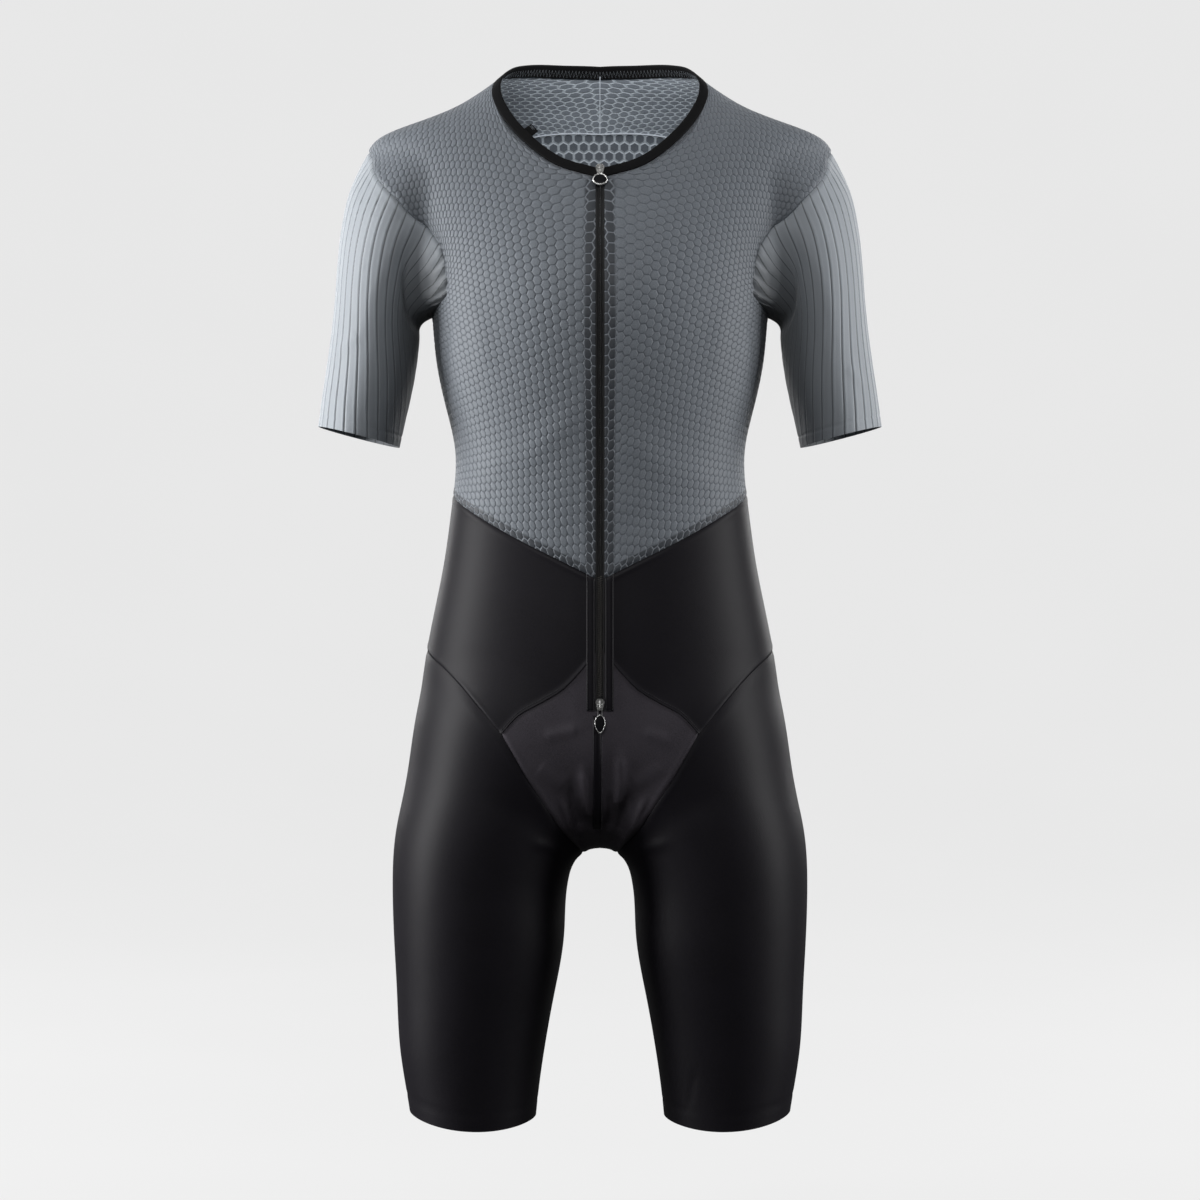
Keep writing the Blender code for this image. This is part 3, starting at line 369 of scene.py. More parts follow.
def form_gap(points, trunk_away=0.0):
    """How far each point is outside the figure. trunk_away moves the trunk off, for sleeve cloth."""
    x, y, z = points[..., 0], points[..., 1], points[..., 2]
    front, back = TRUNK_AT["front"](z), TRUNK_AT["back"](z)
    below = np.clip((TRUNK_ROUNDS_BELOW - z) / TRUNK_ROUNDING, 0, None)
    middle, depth = (front + back) / 2, (back - front) / 2
    trunk = oval(x, y - middle, TRUNK_AT["half_width"](z), depth, below, TRUNK_SQUARENESS)
    above = np.clip((z - ARM_ROUNDS_ABOVE) / ARM_ROUNDING, 0, None)
    above = above + np.clip((ARM_ENDS_BELOW - z) / ARM_ROUNDING, 0, None)
    arm_x, arm_y = np.abs(x) - ARM_AT["centre_x"](z), y - ARM_AT["centre_y"](z)
    arm = oval(arm_x, arm_y, ARM_AT["half_width"](z), ARM_AT["half_depth"](z), above, ARM_SQUARENESS)
    gap = joined(trunk + trunk_away, arm, ARM_BLEND)
    above = np.clip((z - LEG_ROUNDS_ABOVE) / LEG_ROUNDING, 0, None)
    sizes = (LEG_AT["half_width"](z), LEG_AT["half_depth"](z))
    leg_x, leg_y = LEG_AT["centre_x"](z), y - LEG_AT["centre_y"](z)
    legs = [oval(x - side * leg_x, leg_y, *sizes, above, LEG_SQUARENESS) for side in (-1, 1)]
    return joined(gap, joined(*legs, LEG_BLEND), LEG_BLEND)


def form_slope(points, trunk_away=0.0, step=0.0004):
    slope = np.empty_like(points)
    for axis in range(3):
        move = np.zeros(3)
        move[axis] = step
        ahead = form_gap(points + move, trunk_away)
        slope[..., axis] = (ahead - form_gap(points - move, trunk_away)) / (2 * step)
    return slope


def settled(points, rounds=6, trunk_away=0.0):
    """Points moved along the form's slope until they lie on it."""
    points = np.array(points, float)
    for _ in range(rounds):
        slope = form_slope(points, trunk_away)
        gap = form_gap(points, trunk_away)
        size = np.maximum((slope**2).sum(-1), LEAST_SLOPE)
        move = -(gap / size)[..., None] * slope
        points += np.clip(move, -LONGEST_MOVE, LONGEST_MOVE)
    return points


def outward(points, trunk_away=0.0):
    slope = form_slope(points, trunk_away)
    return slope / np.linalg.norm(slope, axis=-1, keepdims=True)


def even_curve(points, steps, fine=240):
    """A smooth curve through the points, settled on the form, cut into even steps."""
    points = np.array(points, float)
    run = lengths_along(points)
    at = np.linspace(0, run[-1], fine)
    curve = np.stack([spline(run, points[:, k])(at) for k in range(3)], axis=1)
    curve = settled(curve, rounds=8)
    run = lengths_along(curve)
    at = np.linspace(0, run[-1], steps + 1)
    return settled(at_lengths(curve, run, at), rounds=3)


def straight_up(x, top, bottom, steps, y_guess=-0.1):
    """A line down the front at one x, as beside the zip."""
    heights = np.linspace(bottom, top, steps + 1)
    line = np.stack([np.full_like(heights, x), np.full_like(heights, y_guess), heights], axis=1)
    for _ in range(8):
        gap = form_gap(line)
        slope = form_slope(line)[:, 1]
        slope = np.where(np.abs(slope) < FLATTEST_FRONT, -FLATTEST_FRONT, slope)
        line[:, 1] -= np.clip(gap / slope, -LONGEST_MOVE, LONGEST_MOVE)
    return line


def halfway(points):
    """The same line with a point added in the middle of each step."""
    fine = np.empty((2 * len(points) - 1, 3))
    fine[::2] = points
    fine[1::2] = (points[1:] + points[:-1]) / 2
    return fine


def relaxed(grid, rounds=RELAX_ROUNDS, closed=False, trunk_away=0.0):
    """Inner points of a grid moved to the middle of their neighbours, kept on the form."""
    for turn in range(rounds):
        if closed:
            beside = np.roll(grid, 1, axis=1) + np.roll(grid, -1, axis=1)
            grid[1:-1] = (grid[:-2] + grid[2:] + beside[1:-1]) / 4
        else:
            across = grid[1:-1, :-2] + grid[1:-1, 2:]
            grid[1:-1, 1:-1] = (grid[:-2, 1:-1] + grid[2:, 1:-1] + across) / 4
        if turn % 3 == 2:
            grid[1:-1] = settled(grid[1:-1], 2, trunk_away)
    return grid


def between_edges(first, last, start, end):
    """A grid whose rows run from the first edge to the last, and whose end rows are given."""
    v = np.linspace(0, 1, len(start))[None, :, None]
    u = np.linspace(0, 1, len(first))[:, None, None]
    rows = first[:, None] * (1 - v) + last[:, None] * v
    ends = start[None] * (1 - u) + end[None] * u
    corners = (first[0] * (1 - u) + first[-1] * u) * (1 - v) + (last[0] * (1 - u) + last[-1] * u) * v
    grid = rows + ends - corners
    grid[1:-1, 1:-1] = settled(grid[1:-1, 1:-1], 10)
    grid[:, 0], grid[:, -1] = first, last
    grid[0], grid[-1] = start, end
    return relaxed(grid)


def mirrored(points):
    return on_side(points, -1)


def inset(grid, closed=False, gap=SEAM_GAP / 2, row_edges=BOTH_EDGES):
    """The grid with its edges drawn in by half of the seam gap."""
    grid = grid.copy()
    for edge, inner in row_edges:
        away = grid[inner] - grid[edge]
        grid[edge] += gap * away / np.linalg.norm(away, axis=-1, keepdims=True)
    if not closed:
        for edge, inner in BOTH_EDGES:
            away = grid[:, inner] - grid[:, edge]
            grid[:, edge] += gap * away / np.linalg.norm(away, axis=-1, keepdims=True)
    return grid


def seam_curves():
    """Every seam of the wearer's left half, cut into its steps."""
    seams = {
        "zip": straight_up(ZIP_HALF_GAP, ZIP_TOP, V_SEAM_CENTRE, ZIP_STEPS),
        "zip_waist": straight_up(ZIP_HALF_GAP, V_SEAM_CENTRE, LAP_SEAM_CENTRE, WAIST_STEPS),
        "neckline": even_curve(NECKLINE, NECK_STEPS),
        "armhole": even_curve(ARMHOLE, ARMHOLE_STEPS),
        "v_seam": even_curve(V_SEAM, ACROSS),
        "back_waist": even_curve(BACK_WAIST_SEAM, ACROSS),
        "leg_front": even_curve(LEG_SEAM_FRONT, LEG_FRONT_STEPS),
        "leg_crotch": even_curve(LEG_SEAM_CROTCH, CROTCH_STEPS),
        "leg_back": even_curve(LEG_SEAM_BACK, LEG_BACK_STEPS),
        "lap": even_curve(LAP_SEAM, HALF_LAP),
        "side": even_curve(SIDE_SEAM, SIDE_STEPS)[::-1],
        "side_waist": even_curve(HIP_SEAM, WAIST_STEPS),
        "centre_back": even_curve(CENTRE_BACK_SEAM, CENTRE_BACK_STEPS),
        "cross": even_curve(CROSS_SEAM, HALF_LAP),
    }
    yoke_end = seams["armhole"][ARMHOLE_TO_YOKE]
    seams["yoke"] = even_curve(YOKE_SEAM[:-1] + (tuple(yoke_end),), ACROSS)
    joined_ends(seams)
    return seams


def joined_ends(seams):
    """Seams that meet share their last points exactly."""
    seams["neckline"][0] = seams["zip"][-1]
    seams["centre_back"][0] = seams["neckline"][-1]
    seams["yoke"][0] = seams["centre_back"][-1]
    seams["yoke"][-1] = seams["armhole"][ARMHOLE_TO_YOKE]
    seams["armhole"][-1] = seams["armhole"][0]
    seams["side"][-1] = seams["armhole"][0]
    seams["v_seam"][0] = seams["zip"][0]
    seams["v_seam"][-1] = seams["side"][0]
    seams["back_waist"][-1] = seams["side"][0]
    seams["zip_waist"][-1] = seams["v_seam"][0]
    seams["side_waist"][0] = seams["side"][0]
    seams["leg_front"][0] = seams["side_waist"][-1]
    seams["lap"][0] = seams["zip_waist"][0]
    seams["leg_front"][-1] = seams["lap"][-1]
    seams["leg_crotch"][0] = seams["lap"][-1]
    seams["leg_crotch"][-1] = seams["cross"][-1]
    seams["leg_back"][0] = seams["cross"][-1]
    seams["leg_back"][-1] = seams["side_waist"][-1]
    seams["centre_back"][:, 0] = 0
    for name in ("neckline", "yoke", "back_waist", "cross"):
        end = -1 if name == "neckline" else 0
        seams[name][end, 0] = 0


def front_grid(seams):
    """A front, from the V seam up the chest, over the shoulder and down to the yoke seam."""
    inner = np.concatenate([seams["zip"], seams["neckline"][1:], seams["centre_back"][1:]])
    outer = np.concatenate([seams["side"], seams["armhole"][1 : ARMHOLE_TO_YOKE + 1]])
    return between_edges(inner, outer, seams["v_seam"], seams["yoke"])


def back_grid(seams):
    """The lower back across both sides, from the yoke seam down to the back waist seam."""
    left = np.concatenate([seams["armhole"][ARMHOLE_TO_YOKE:], seams["side"][-2::-1]])
    top = np.concatenate([mirrored(seams["yoke"])[::-1], seams["yoke"][1:]])
    bottom = np.concatenate([mirrored(seams["back_waist"])[::-1], seams["back_waist"][1:]])
    return between_edges(mirrored(left), left, top, bottom)


def seat_grid(seams):
    left = np.concatenate([seams["side_waist"], seams["leg_back"][-2::-1]])
    top = np.concatenate([mirrored(seams["back_waist"])[::-1], seams["back_waist"][1:]])
    cross = halfway(seams["cross"])
    bottom = np.concatenate([mirrored(cross)[::-1], cross[1:]])
    return between_edges(mirrored(left), left, top, bottom)


def waist_grid(seams):
    bottom = np.concatenate([seams["lap"], seams["leg_front"][-2::-1]])
    inner = seams["zip_waist"][::-1]
    return between_edges(inner, seams["side_waist"], seams["v_seam"], bottom)


def crotch_centre():
    """The crotch front's inner edge: beside the zip to its end, then the centre seam."""
    beside = straight_up(ZIP_HALF_GAP, LAP_SEAM_CENTRE, ZIP_END, BESIDE_STEPS)[::-1]
    centre_line = even_curve(CROTCH_CENTRE_SEAM, CROTCH_STEPS - BESIDE_STEPS - 1)
    centre_line[:, 0] = 0
    return np.concatenate([beside, centre_line])


def crotch_grid(seams):
    inner = crotch_centre()
    inner[0], inner[-1] = seams["lap"][0], seams["cross"][0]
    return between_edges(inner, seams["leg_crotch"], seams["lap"], seams["cross"])


def leg_hem(turn):
    """The hem's point at a turn from the outer side towards the front."""
    x = LEG_AT["centre_x"](HEM_SIDE) + LEG_AT["half_width"](HEM_SIDE) * np.cos(turn)
    y = LEG_AT["centre_y"](HEM_SIDE) - LEG_AT["half_depth"](HEM_SIDE) * np.sin(turn)
    drop = HEM_FRONT_DROP * np.clip(np.sin(turn), 0, 1) ** 2 + HEM_INNER_DROP * (1 - np.cos(turn)) / 2
    return np.stack([x, y, HEM_SIDE - drop], axis=-1)


def leg_grid(seams):
    top = np.concatenate([seams["leg_front"], seams["leg_crotch"][1:], seams["leg_back"][1:-1]])
    turn = np.linspace(0, 2 * math.pi, len(top), endpoint=False)
    hem = settled(leg_hem(turn))
    v = np.linspace(0, 1, LEG_ROWS + 1)[:, None, None]
    grid = top[None] * (1 - v) + hem[None] * v
    inside = leg_axis(grid)
    grid[1:-1] = settled((grid + LEG_PULLED_IN * (inside - grid))[1:-1], 10)
    return relaxed(grid, closed=True)


def leg_axis(points):
    axis = points.copy()
    axis[..., 0] = LEG_AT["centre_x"](points[..., 2])
    axis[..., 1] = LEG_AT["centre_y"](points[..., 2])
    return axis


def sleeve_ring(turn, height):
    """Points round the arm at a height, from the underarm forwards."""
    x = ARM_AT["centre_x"](height) - ARM_AT["half_width"](height) * np.cos(turn)
    y = ARM_AT["centre_y"](height) - ARM_AT["half_depth"](height) * np.sin(turn)
    return np.stack([x, y, height], axis=-1)


def trunk_moved_off(rows):
    """How far the trunk is held off each sleeve row, so that sleeve cloth keeps to the arm."""
    return np.clip(np.linspace(0, 1, rows) * SLEEVE_LEAVES_OVER, 0, 1)[:, None] * SLEEVE_TRUNK_AWAY


def sleeve_grid(seams):
    top = seams["armhole"][:-1]
    turn = np.linspace(0, 2 * math.pi, len(top), endpoint=False)
    cuff_height = CUFF_INNER + (CUFF_OUTER - CUFF_INNER) * (1 - np.cos(turn)) / 2
    v = np.linspace(0, 1, SLEEVE_ROWS + 1)[:, None]
    heights = top[None, :, 2] * (1 - v) + cuff_height[None] * v
    rings = sleeve_ring(np.broadcast_to(turn, heights.shape), heights)
    on_arm = np.clip(v * SLEEVE_EASES_OVER, 0, 1)[..., None]
    on_arm = on_arm**2 * (3 - 2 * on_arm)
    straight = top[None] * (1 - v[..., None]) + rings[-1][None] * v[..., None]
    grid = straight * (1 - on_arm) + rings * on_arm
    away = trunk_moved_off(SLEEVE_ROWS + 1)
    grid[1:] = settled(grid[1:], 8, away[1:])
    grid = relaxed(grid, rounds=SLEEVE_RELAX_ROUNDS, closed=True, trunk_away=away[1:-1])
    return grid, away


def zip_frame(height):
    """Where the zip is at a height: its point, the way down along it and the way out."""
    point = straight_up(0.0, height, height, 1)[:1]
    out = outward(point)[0]
    out[0] = 0
    out /= np.linalg.norm(out)
    down = np.cross(out, (1.0, 0.0, 0.0))
    down *= -1 if down[2] > 0 else 1
    return point[0], down, out


# The lattice of the mesh cells along a front: the height up the panel from the V seam, the cells'
# spacing along a row and the rows' spacing. The rows run down towards the zip by LATTICE_TILT.
LATTICE = (
    (0.000, 0.0066, 0.0070),
    (0.080, 0.0062, 0.0068),
    (0.170, 0.0064, 0.0068),
    (0.260, 0.0078, 0.0066),
    (0.380, 0.0082, 0.0066),
    (0.520, 0.0070, 0.0058),
    (0.640, 0.0058, 0.0056),
)
LATTICE_TILT = math.radians(-25)
BACK_LATTICE = ((0.0, 0.0086, 0.0084), (0.5, 0.0086, 0.0084))
CELL_ROW_RATIO = math.sqrt(3) / 2
THREAD_HALF = 0.03
FRONT_WIDTH = 0.190

# How many fine steps each coarse step is cut into, up or round a panel and across it.
FRONT_FINE = (20, 14)
BACK_FINE = (18, 10)
SEAT_FINE = (6, 6)
WAIST_FINE = (16, 12)
CROTCH_FINE = (12, 12)
LEG_FINE = (8, 6)
SLEEVE_FINE = (14, 20)

# Soft folds that the solids have too, and the creases that are the cloth's own. Each is a line
# near the form, a half width, and how far it stands out or sinks. A crease starts with its side:
# 1 for the wearer's left only, -1 for the right only and 0 for both.
SOLID_FOLDS = (
    ((0.006, -0.060, -0.695), (0.060, -0.095, -0.620), 0.012, -0.0030),
    ((0.012, -0.040, -0.705), (0.100, -0.095, -0.660), 0.013, -0.0030),
    ((0.014, 0.060, -0.700), (0.080, 0.110, -0.640), 0.014, -0.0030),
    ((0.157, -0.050, -0.185), (0.190, -0.055, -0.235), 0.009, -0.0025),
    ((0.157, 0.060, -0.190), (0.190, 0.058, -0.245), 0.009, -0.0025),
)
SOLID_FOLD_FADE = 1.15
SLEEVE_CREASES = (
    (1, ((0.2250, -0.045, -0.2650), (0.2380, -0.040, -0.2800)), 0.0060, 0.0008),
    (-1, ((0.2200, -0.045, -0.2350), (0.2400, -0.038, -0.2500)), 0.0070, 0.0009),
)
# Gathers from the armhole seam down the sleeve: where round the armhole from the underarm, in
# front or behind, how long, their half width and how far they stand out or sink.
GATHERS = (
    (0.052, 0.020, 0.0026, 0.0018),
    (0.059, 0.026, 0.0024, -0.0022),
    (0.066, 0.022, 0.0022, 0.0016),
    (0.073, 0.030, 0.0024, -0.0026),
    (0.080, 0.024, 0.0022, 0.0018),
    (0.087, 0.028, 0.0022, -0.0026),
    (0.094, 0.018, 0.0020, 0.0014),
    (0.100, 0.022, 0.0020, -0.0020),
    (0.107, 0.015, 0.0020, 0.0011),
    (0.114, 0.017, 0.0020, -0.0013),
    (0.455, 0.022, 0.0026, -0.0018),
    (0.466, 0.026, 0.0026, 0.0014),
    (0.478, 0.022, 0.0026, -0.0018),
)
GATHER_SLANT = 0.45
# Painted shade under the arm: whole within the first share of the way round, and gone at the second.
UNDERARM_SHADE_SHARES = (0.13, 0.27)
FRONT_CREASES = (
    (0, ((0.1440, -0.070, -0.2200), (0.1480, -0.055, -0.2500), (0.1450, -0.045, -0.2900)),
     0.0060, -0.0012),
    (0, ((0.1280, -0.085, -0.2000), (0.1180, -0.095, -0.2300), (0.1120, -0.098, -0.2700)),
     0.0120, 0.0009),
    (1, ((0.0200, -0.104, -0.3300), (0.0600, -0.100, -0.3600), (0.1000, -0.075, -0.3700)),
     0.0140, 0.0010),
    (-1, ((0.0200, -0.104, -0.3100), (0.0700, -0.098, -0.3500), (0.1050, -0.070, -0.3550)),
     0.0140, 0.0011),
    (1, ((0.0150, -0.102, -0.4150), (0.0600, -0.095, -0.3950), (0.1000, -0.072, -0.3800)),
     0.0110, -0.0008),
    (-1, ((0.0150, -0.102, -0.4250), (0.0650, -0.093, -0.4000), (0.1050, -0.066, -0.3820)),
     0.0120, -0.0009),
)
BACK_CREASES = (
    (1, ((0.0100, 0.085, -0.3600), (0.0600, 0.078, -0.3450), (0.1100, 0.050, -0.3400)),
     0.0140, -0.0014),
    (-1, ((0.0050, 0.085, -0.3750), (0.0600, 0.078, -0.3620), (0.1080, 0.050, -0.3480)),
     0.0150, -0.0014),
    (0, ((0.1480, 0.060, -0.2150), (0.1400, 0.070, -0.2500), (0.1300, 0.068, -0.2900)),
     0.0100, -0.0012),
    (1, ((0.0300, 0.110, -0.1500), (0.0700, 0.106, -0.1700), (0.1100, 0.095, -0.1900)), 0.0120, 0.0010),
)
SHORTS_CREASES = (
    (-1, ((0.0200, -0.104, -0.5970), (0.0350, -0.103, -0.6000), (0.0500, -0.102, -0.6040)),
     0.0055, 0.0011),
    (1, ((0.0400, -0.103, -0.6000), (0.0520, -0.102, -0.6030), (0.0620, -0.100, -0.6080)),
     0.0055, 0.0010),
    (-1, ((0.0150, -0.098, -0.6350), (0.0130, -0.088, -0.6600), (0.0090, -0.070, -0.6850)),
     0.0050, 0.0028),
    (1, ((0.0180, -0.098, -0.6200), (0.0190, -0.092, -0.6450), (0.0160, -0.080, -0.6700)),
     0.0052, 0.0026),
    (0, ((0.0300, -0.096, -0.6500), (0.0420, -0.092, -0.6400), (0.0560, -0.096, -0.6300)),
     0.0080, 0.0016),
    (-1, ((0.0260, -0.095, -0.6500), (0.0230, -0.082, -0.6750), (0.0160, -0.060, -0.6950)),
     0.0036, -0.0020),
    (-1, ((0.0340, -0.090, -0.6650), (0.0270, -0.070, -0.6880), (0.0190, -0.045, -0.7020)),
     0.0034, 0.0022),
    (1, ((0.0100, -0.090, -0.6600), (0.0090, -0.078, -0.6800), (0.0070, -0.060, -0.6980)),
     0.0036, -0.0018),
    (1, ((0.0260, -0.094, -0.6600), (0.0200, -0.078, -0.6820), (0.0140, -0.055, -0.7000)),
     0.0040, -0.0020),
    (1, ((0.0400, -0.090, -0.6630), (0.0290, -0.068, -0.6890), (0.0200, -0.040, -0.7040)),
     0.0036, 0.0022),
    (0, ((0.0420, -0.090, -0.6800), (0.0330, -0.065, -0.6980), (0.0260, -0.030, -0.7100)),
     0.0036, -0.0012),
    (0, ((0.0520, -0.095, -0.7050), (0.0420, -0.075, -0.7080), (0.0320, -0.050, -0.7130)),
     0.0046, 0.0012),
    (1, ((0.0600, -0.096, -0.9200), (0.0640, -0.074, -0.9500)), 0.0040, -0.0006),
    (0, ((0.0300, 0.100, -0.7150), (0.0500, 0.108, -0.7300), (0.0800, 0.110, -0.7400)),
     0.0080, -0.0022),
    (0, ((0.0300, 0.095, -0.7400), (0.0550, 0.100, -0.7560), (0.0850, 0.100, -0.7640)), 0.0070, 0.0012),
    (0, ((0.0000, 0.126, -0.5200), (0.0010, 0.124, -0.6000), (0.0000, 0.105, -0.6700)),
     0.0100, -0.0030),
)

LAP_RISE = 0.0011
LAP_REACH = 0.0030
SEAM_SINK = 0.0008
SEAM_REACH = 0.0011
SEAM_RIDGE = 0.00035
SEAM_RIDGE_AT = 0.0038
SEAM_RIDGE_WIDTH = 0.0022
# A crease is looked for within some half widths of its line, and fades towards its ends.
CREASE_REACH = 4
CREASE_FADE = 5
CREASE_END = 0.35
# How far up a panel the lattice is worked out, and the cells that keep its coordinates above 0.
LATTICE_REACH = 0.8
LATTICE_SAMPLES = 1601
LATTICE_SHIFT = 400
CELL_LINE_EDGE = 0.10
# The grain and the low relief that the cloths' colour shows, finer than their shapes.
MESH_GRAIN = 900.0
MESH_RELIEF = 0.00045
RIB_GRAIN = 1300.0
RIB_RELIEF = 0.00012
WALES_IN_A_RIB = 12
# The ribs' colour: a painted shadow in each groove and a painted highlight on the lip beside it.
GROOVE_SHADE = (0.0002, 0.0009)
LIP_HIGHLIGHT_AT = 0.0017
LIP_HIGHLIGHT_WIDTH = 0.0012
KNIT_RELIEF = 0.00010
CLOTH_CLOUDS = 26.0
WEFT_SCALE = 420.0
METAL_GRAIN = 1800.0
METAL_RELIEF = 0.00003
# Edges sharper than these are shaded as edges.
PIECE_SHARP_ANGLE = math.radians(55)
TUBE_SHARP_ANGLE = math.radians(50)
# The mesh's relief starts beside an edge. Its cells are dark where tape or cloth lies behind.
RELIEF_STARTS_OVER = 0.0016
BACKED_BESIDE_ZIP = 0.0098
BACKED_AT_WAIST = 0.0078
BACKED_BELOW_NECK = 0.0045
BACKED_NECK_SHARE = 0.7
BACKED_EDGE = 0.0012
ZIP_EDGE_FOLD = 0.0005
ZIP_EDGE_WIDTH = 0.0006
# The ribs' grooves, the lip beside each and the sewn line above the cuff.
RIBS_START_OVER = 0.012
GROOVE_WIDTH = 0.0008
LIP_HEIGHT = 0.0003
LIP_AT = 0.0020
LIP_WIDTH = 0.0013
CUFF_LINE_SINK = 0.0005
CUFF_LINE_AT = 0.0100
CUFF_LINE_WIDTH = 0.0010
GATHER_FADE = 1.5
GATHER_STARTS_OVER = 0.002
# The lapped edge starts beside the placket. The cloth under it sinks.
LAP_FROM_ZIP = 0.0095
LAP_STARTS_OVER = 0.003
UNDER_LAP_SINK = 0.0006
UNDER_LAP_REACH = 0.0025
HEM_LINE_SINK = 0.0004
HEM_LINE_AT = 0.0160
HEM_LINE_WIDTH = 0.0012


class ClothSettings(bpy.types.PropertyGroup):
    mesh_grey: FloatVectorProperty(
        name="Mesh grey", description="Colour of the relief mesh's cells", subtype="COLOR",
        default=(0.124, 0.140, 0.161), min=0, max=1,
    )
    # Painted shade: the sunken lines get a darker grey than the same threads beside the zip.
    shaded_line_grey: FloatVectorProperty(
        name="Line grey", description="Colour of the sunken lines round the mesh's cells",
        subtype="COLOR", default=(0.101, 0.115, 0.134), min=0, max=1,
    )
    open_thread_grey: FloatVectorProperty(
        name="Open thread grey", description="Colour of the threads where black tape lies behind",
        subtype="COLOR", default=(0.142, 0.159, 0.182), min=0, max=1,
    )
    # Painted light: the mesh seen inside the neck and back is given far lighter colours than the same mesh
    # outside.
    lit_inside_thread: FloatVectorProperty(
        name="Inside thread", description="Colour of the mesh's threads inside the neck",
        subtype="COLOR", default=(0.52, 0.58, 0.64), min=0, max=1,
    )
    lit_inside_cell: FloatVectorProperty(
        name="Inside cell", description="Colour of the cells inside the yoke", subtype="COLOR",
        default=(0.23, 0.26, 0.30), min=0, max=1,
    )
    back_cell: FloatVectorProperty(
        name="Back cell", description="Colour of the cells inside the lower back", subtype="COLOR",
        default=(0.125, 0.145, 0.172), min=0, max=1,
    )
    backed_grey: FloatVectorProperty(
        name="Backed cell grey", description="Colour of cells with black tape behind them",
        subtype="COLOR", default=(0.022, 0.027, 0.035), min=0, max=1,
    )
    rib_grey: FloatVectorProperty(
        name="Sleeve grey", description="Colour of the ribbed sleeves", subtype="COLOR",
        default=(0.245, 0.269, 0.296), min=0, max=1,
    )
    shorts_black: FloatVectorProperty(
        name="Shorts black", description="Colour of the smooth stretch cloth", subtype="COLOR",
        default=(0.0065, 0.0058, 0.0078), min=0, max=1,
    )
    # The crotch fronts' cloth is a lighter, purplish black, and its colour is made lighter still by a painted
    # sheen of a front light.
    crotch_black_and_sheen: FloatVectorProperty(
        name="Crotch black", description="Colour of the crotch fronts' cloth", subtype="COLOR",
        default=(0.0400, 0.0360, 0.0430), min=0, max=1,
    )
    tape_black: FloatVectorProperty(
        name="Tape black", description="Colour of the binding and the zip's tape", subtype="COLOR",
        default=(0.0030, 0.0030, 0.0034), min=0, max=1,
    )
    cell_depth: FloatProperty(
        name="Cell depth", description="How far the lines between the mesh's cells sink", default=0.00045,
        min=0, max=0.002, unit="LENGTH", precision=5,
    )
    rib_spacing: FloatProperty(
        name="Rib spacing", description="From one groove of the sleeves to the next", default=0.0112,
        min=0.004, max=0.03, unit="LENGTH", precision=5,
    )
    # Painted shade: how much darker the sleeves' knit colour is made under the arm.
    underarm_shade: FloatProperty(
        name="Underarm shade", description="How much darker the close-packed knit is under the arm",
        default=0.62, min=0, max=1,
    )
    rib_depth: FloatProperty(
        name="Rib groove depth", description="How deep the sleeves' grooves are", default=0.0007,
        min=0, max=0.002, unit="LENGTH", precision=5,
    )


class SewingSettings(bpy.types.PropertyGroup):
    stitch_length: FloatProperty(
        name="Stitch length", description="Length of one seam stitch", default=0.0022,
        min=0.001, max=0.01, unit="LENGTH", precision=5,
    )
    thread_radius: FloatProperty(
        name="Thread radius", description="Radius of the sewing thread", default=0.00022,
        min=0.0001, max=0.001, unit="LENGTH", precision=5,
    )
    lap_stitch_rise: FloatProperty(
        name="Lap stitch rise", description="How far the stitches lie above the lapped edge",
        default=0.0032, min=0, max=0.02, unit="LENGTH", precision=5,
    )
    thread_grey: FloatVectorProperty(
        name="Grey thread", description="Colour of the neck's cover stitching", subtype="COLOR",
        default=(0.30, 0.33, 0.36), min=0, max=1,
    )
    thread_black: FloatVectorProperty(
        name="Black thread", description="Colour of the thread in the shorts", subtype="COLOR",
        default=(0.020, 0.020, 0.022), min=0, max=1,
    )


class ZipSettings(bpy.types.PropertyGroup):
    tooth_pitch: FloatProperty(
        name="Tooth pitch", description="Distance from one coil tooth to the next", default=0.0016,
        min=0.001, max=0.005, unit="LENGTH", precision=5,
    )
    slider_metal: FloatVectorProperty(
        name="Slider metal", description="Colour of the sliders and the pulls' rims",
        subtype="COLOR", default=(0.62, 0.62, 0.61), min=0, max=1,
    )


class StudioSettings(bpy.types.PropertyGroup):
    backdrop: FloatVectorProperty(
        name="Backdrop", description="Colour of the floor and backdrop", subtype="COLOR",
        default=(0.80, 0.80, 0.80), min=0, max=1,
    )
    light_power: FloatProperty(
        name="Light power", description="Power that the lights' shares are of", default=100.0,
        min=0, unit="POWER",
    )
    ambient: FloatProperty(
        name="Ambient light", description="Strength of the light from all round", default=0.06, min=0,
    )
    neck_fill: FloatProperty(
        name="Neck fill", description="The neck fill light's share of the light power",
        default=0.0006, min=0,
    )
    bowl_steps: IntProperty(
        name="Bowl steps", description="Steps round the backdrop", default=96, min=12, max=256,
    )


def settings(name):
    return getattr(bpy.context.scene, f"skinsuit_{name}")


@functools.lru_cache(maxsize=None)
def seams():
    return seam_curves()


def finer_line(points, steps, breaks=(), closed=False):
    """The first axis of an array cut into fine steps on a smooth curve, which may turn at breaks."""
    count = len(points)
    spans = count if closed else count - 1
    k = np.arange(spans)
    first, second = points[k], points[(k + 1) % count]
    before, after = points[(k - 1) % count].copy(), points[(k + 2) % count].copy()
    for spot in set(breaks) | (set() if closed else {0, count - 1}):
        if spot < spans:
            before[spot] = 2 * first[spot] - second[spot]
        if spot or closed:
            after[spot - 1] = 2 * second[spot - 1] - first[spot - 1]
    t = (np.arange(steps) / steps).reshape((1, steps) + (1,) * (points.ndim - 1))
    first, second, before, after = (a[:, None] for a in (first, second, before, after))
    curve = 2 * first + (second - before) * t + (2 * before - 5 * first + 4 * second - after) * t**2
    curve = 0.5 * (curve + (3 * first - before - 3 * second + after) * t**3)
    curve = curve.reshape((spans * steps,) + points.shape[1:])
    end = points[:1] if closed else points[-1:]
    return np.concatenate([curve, end])


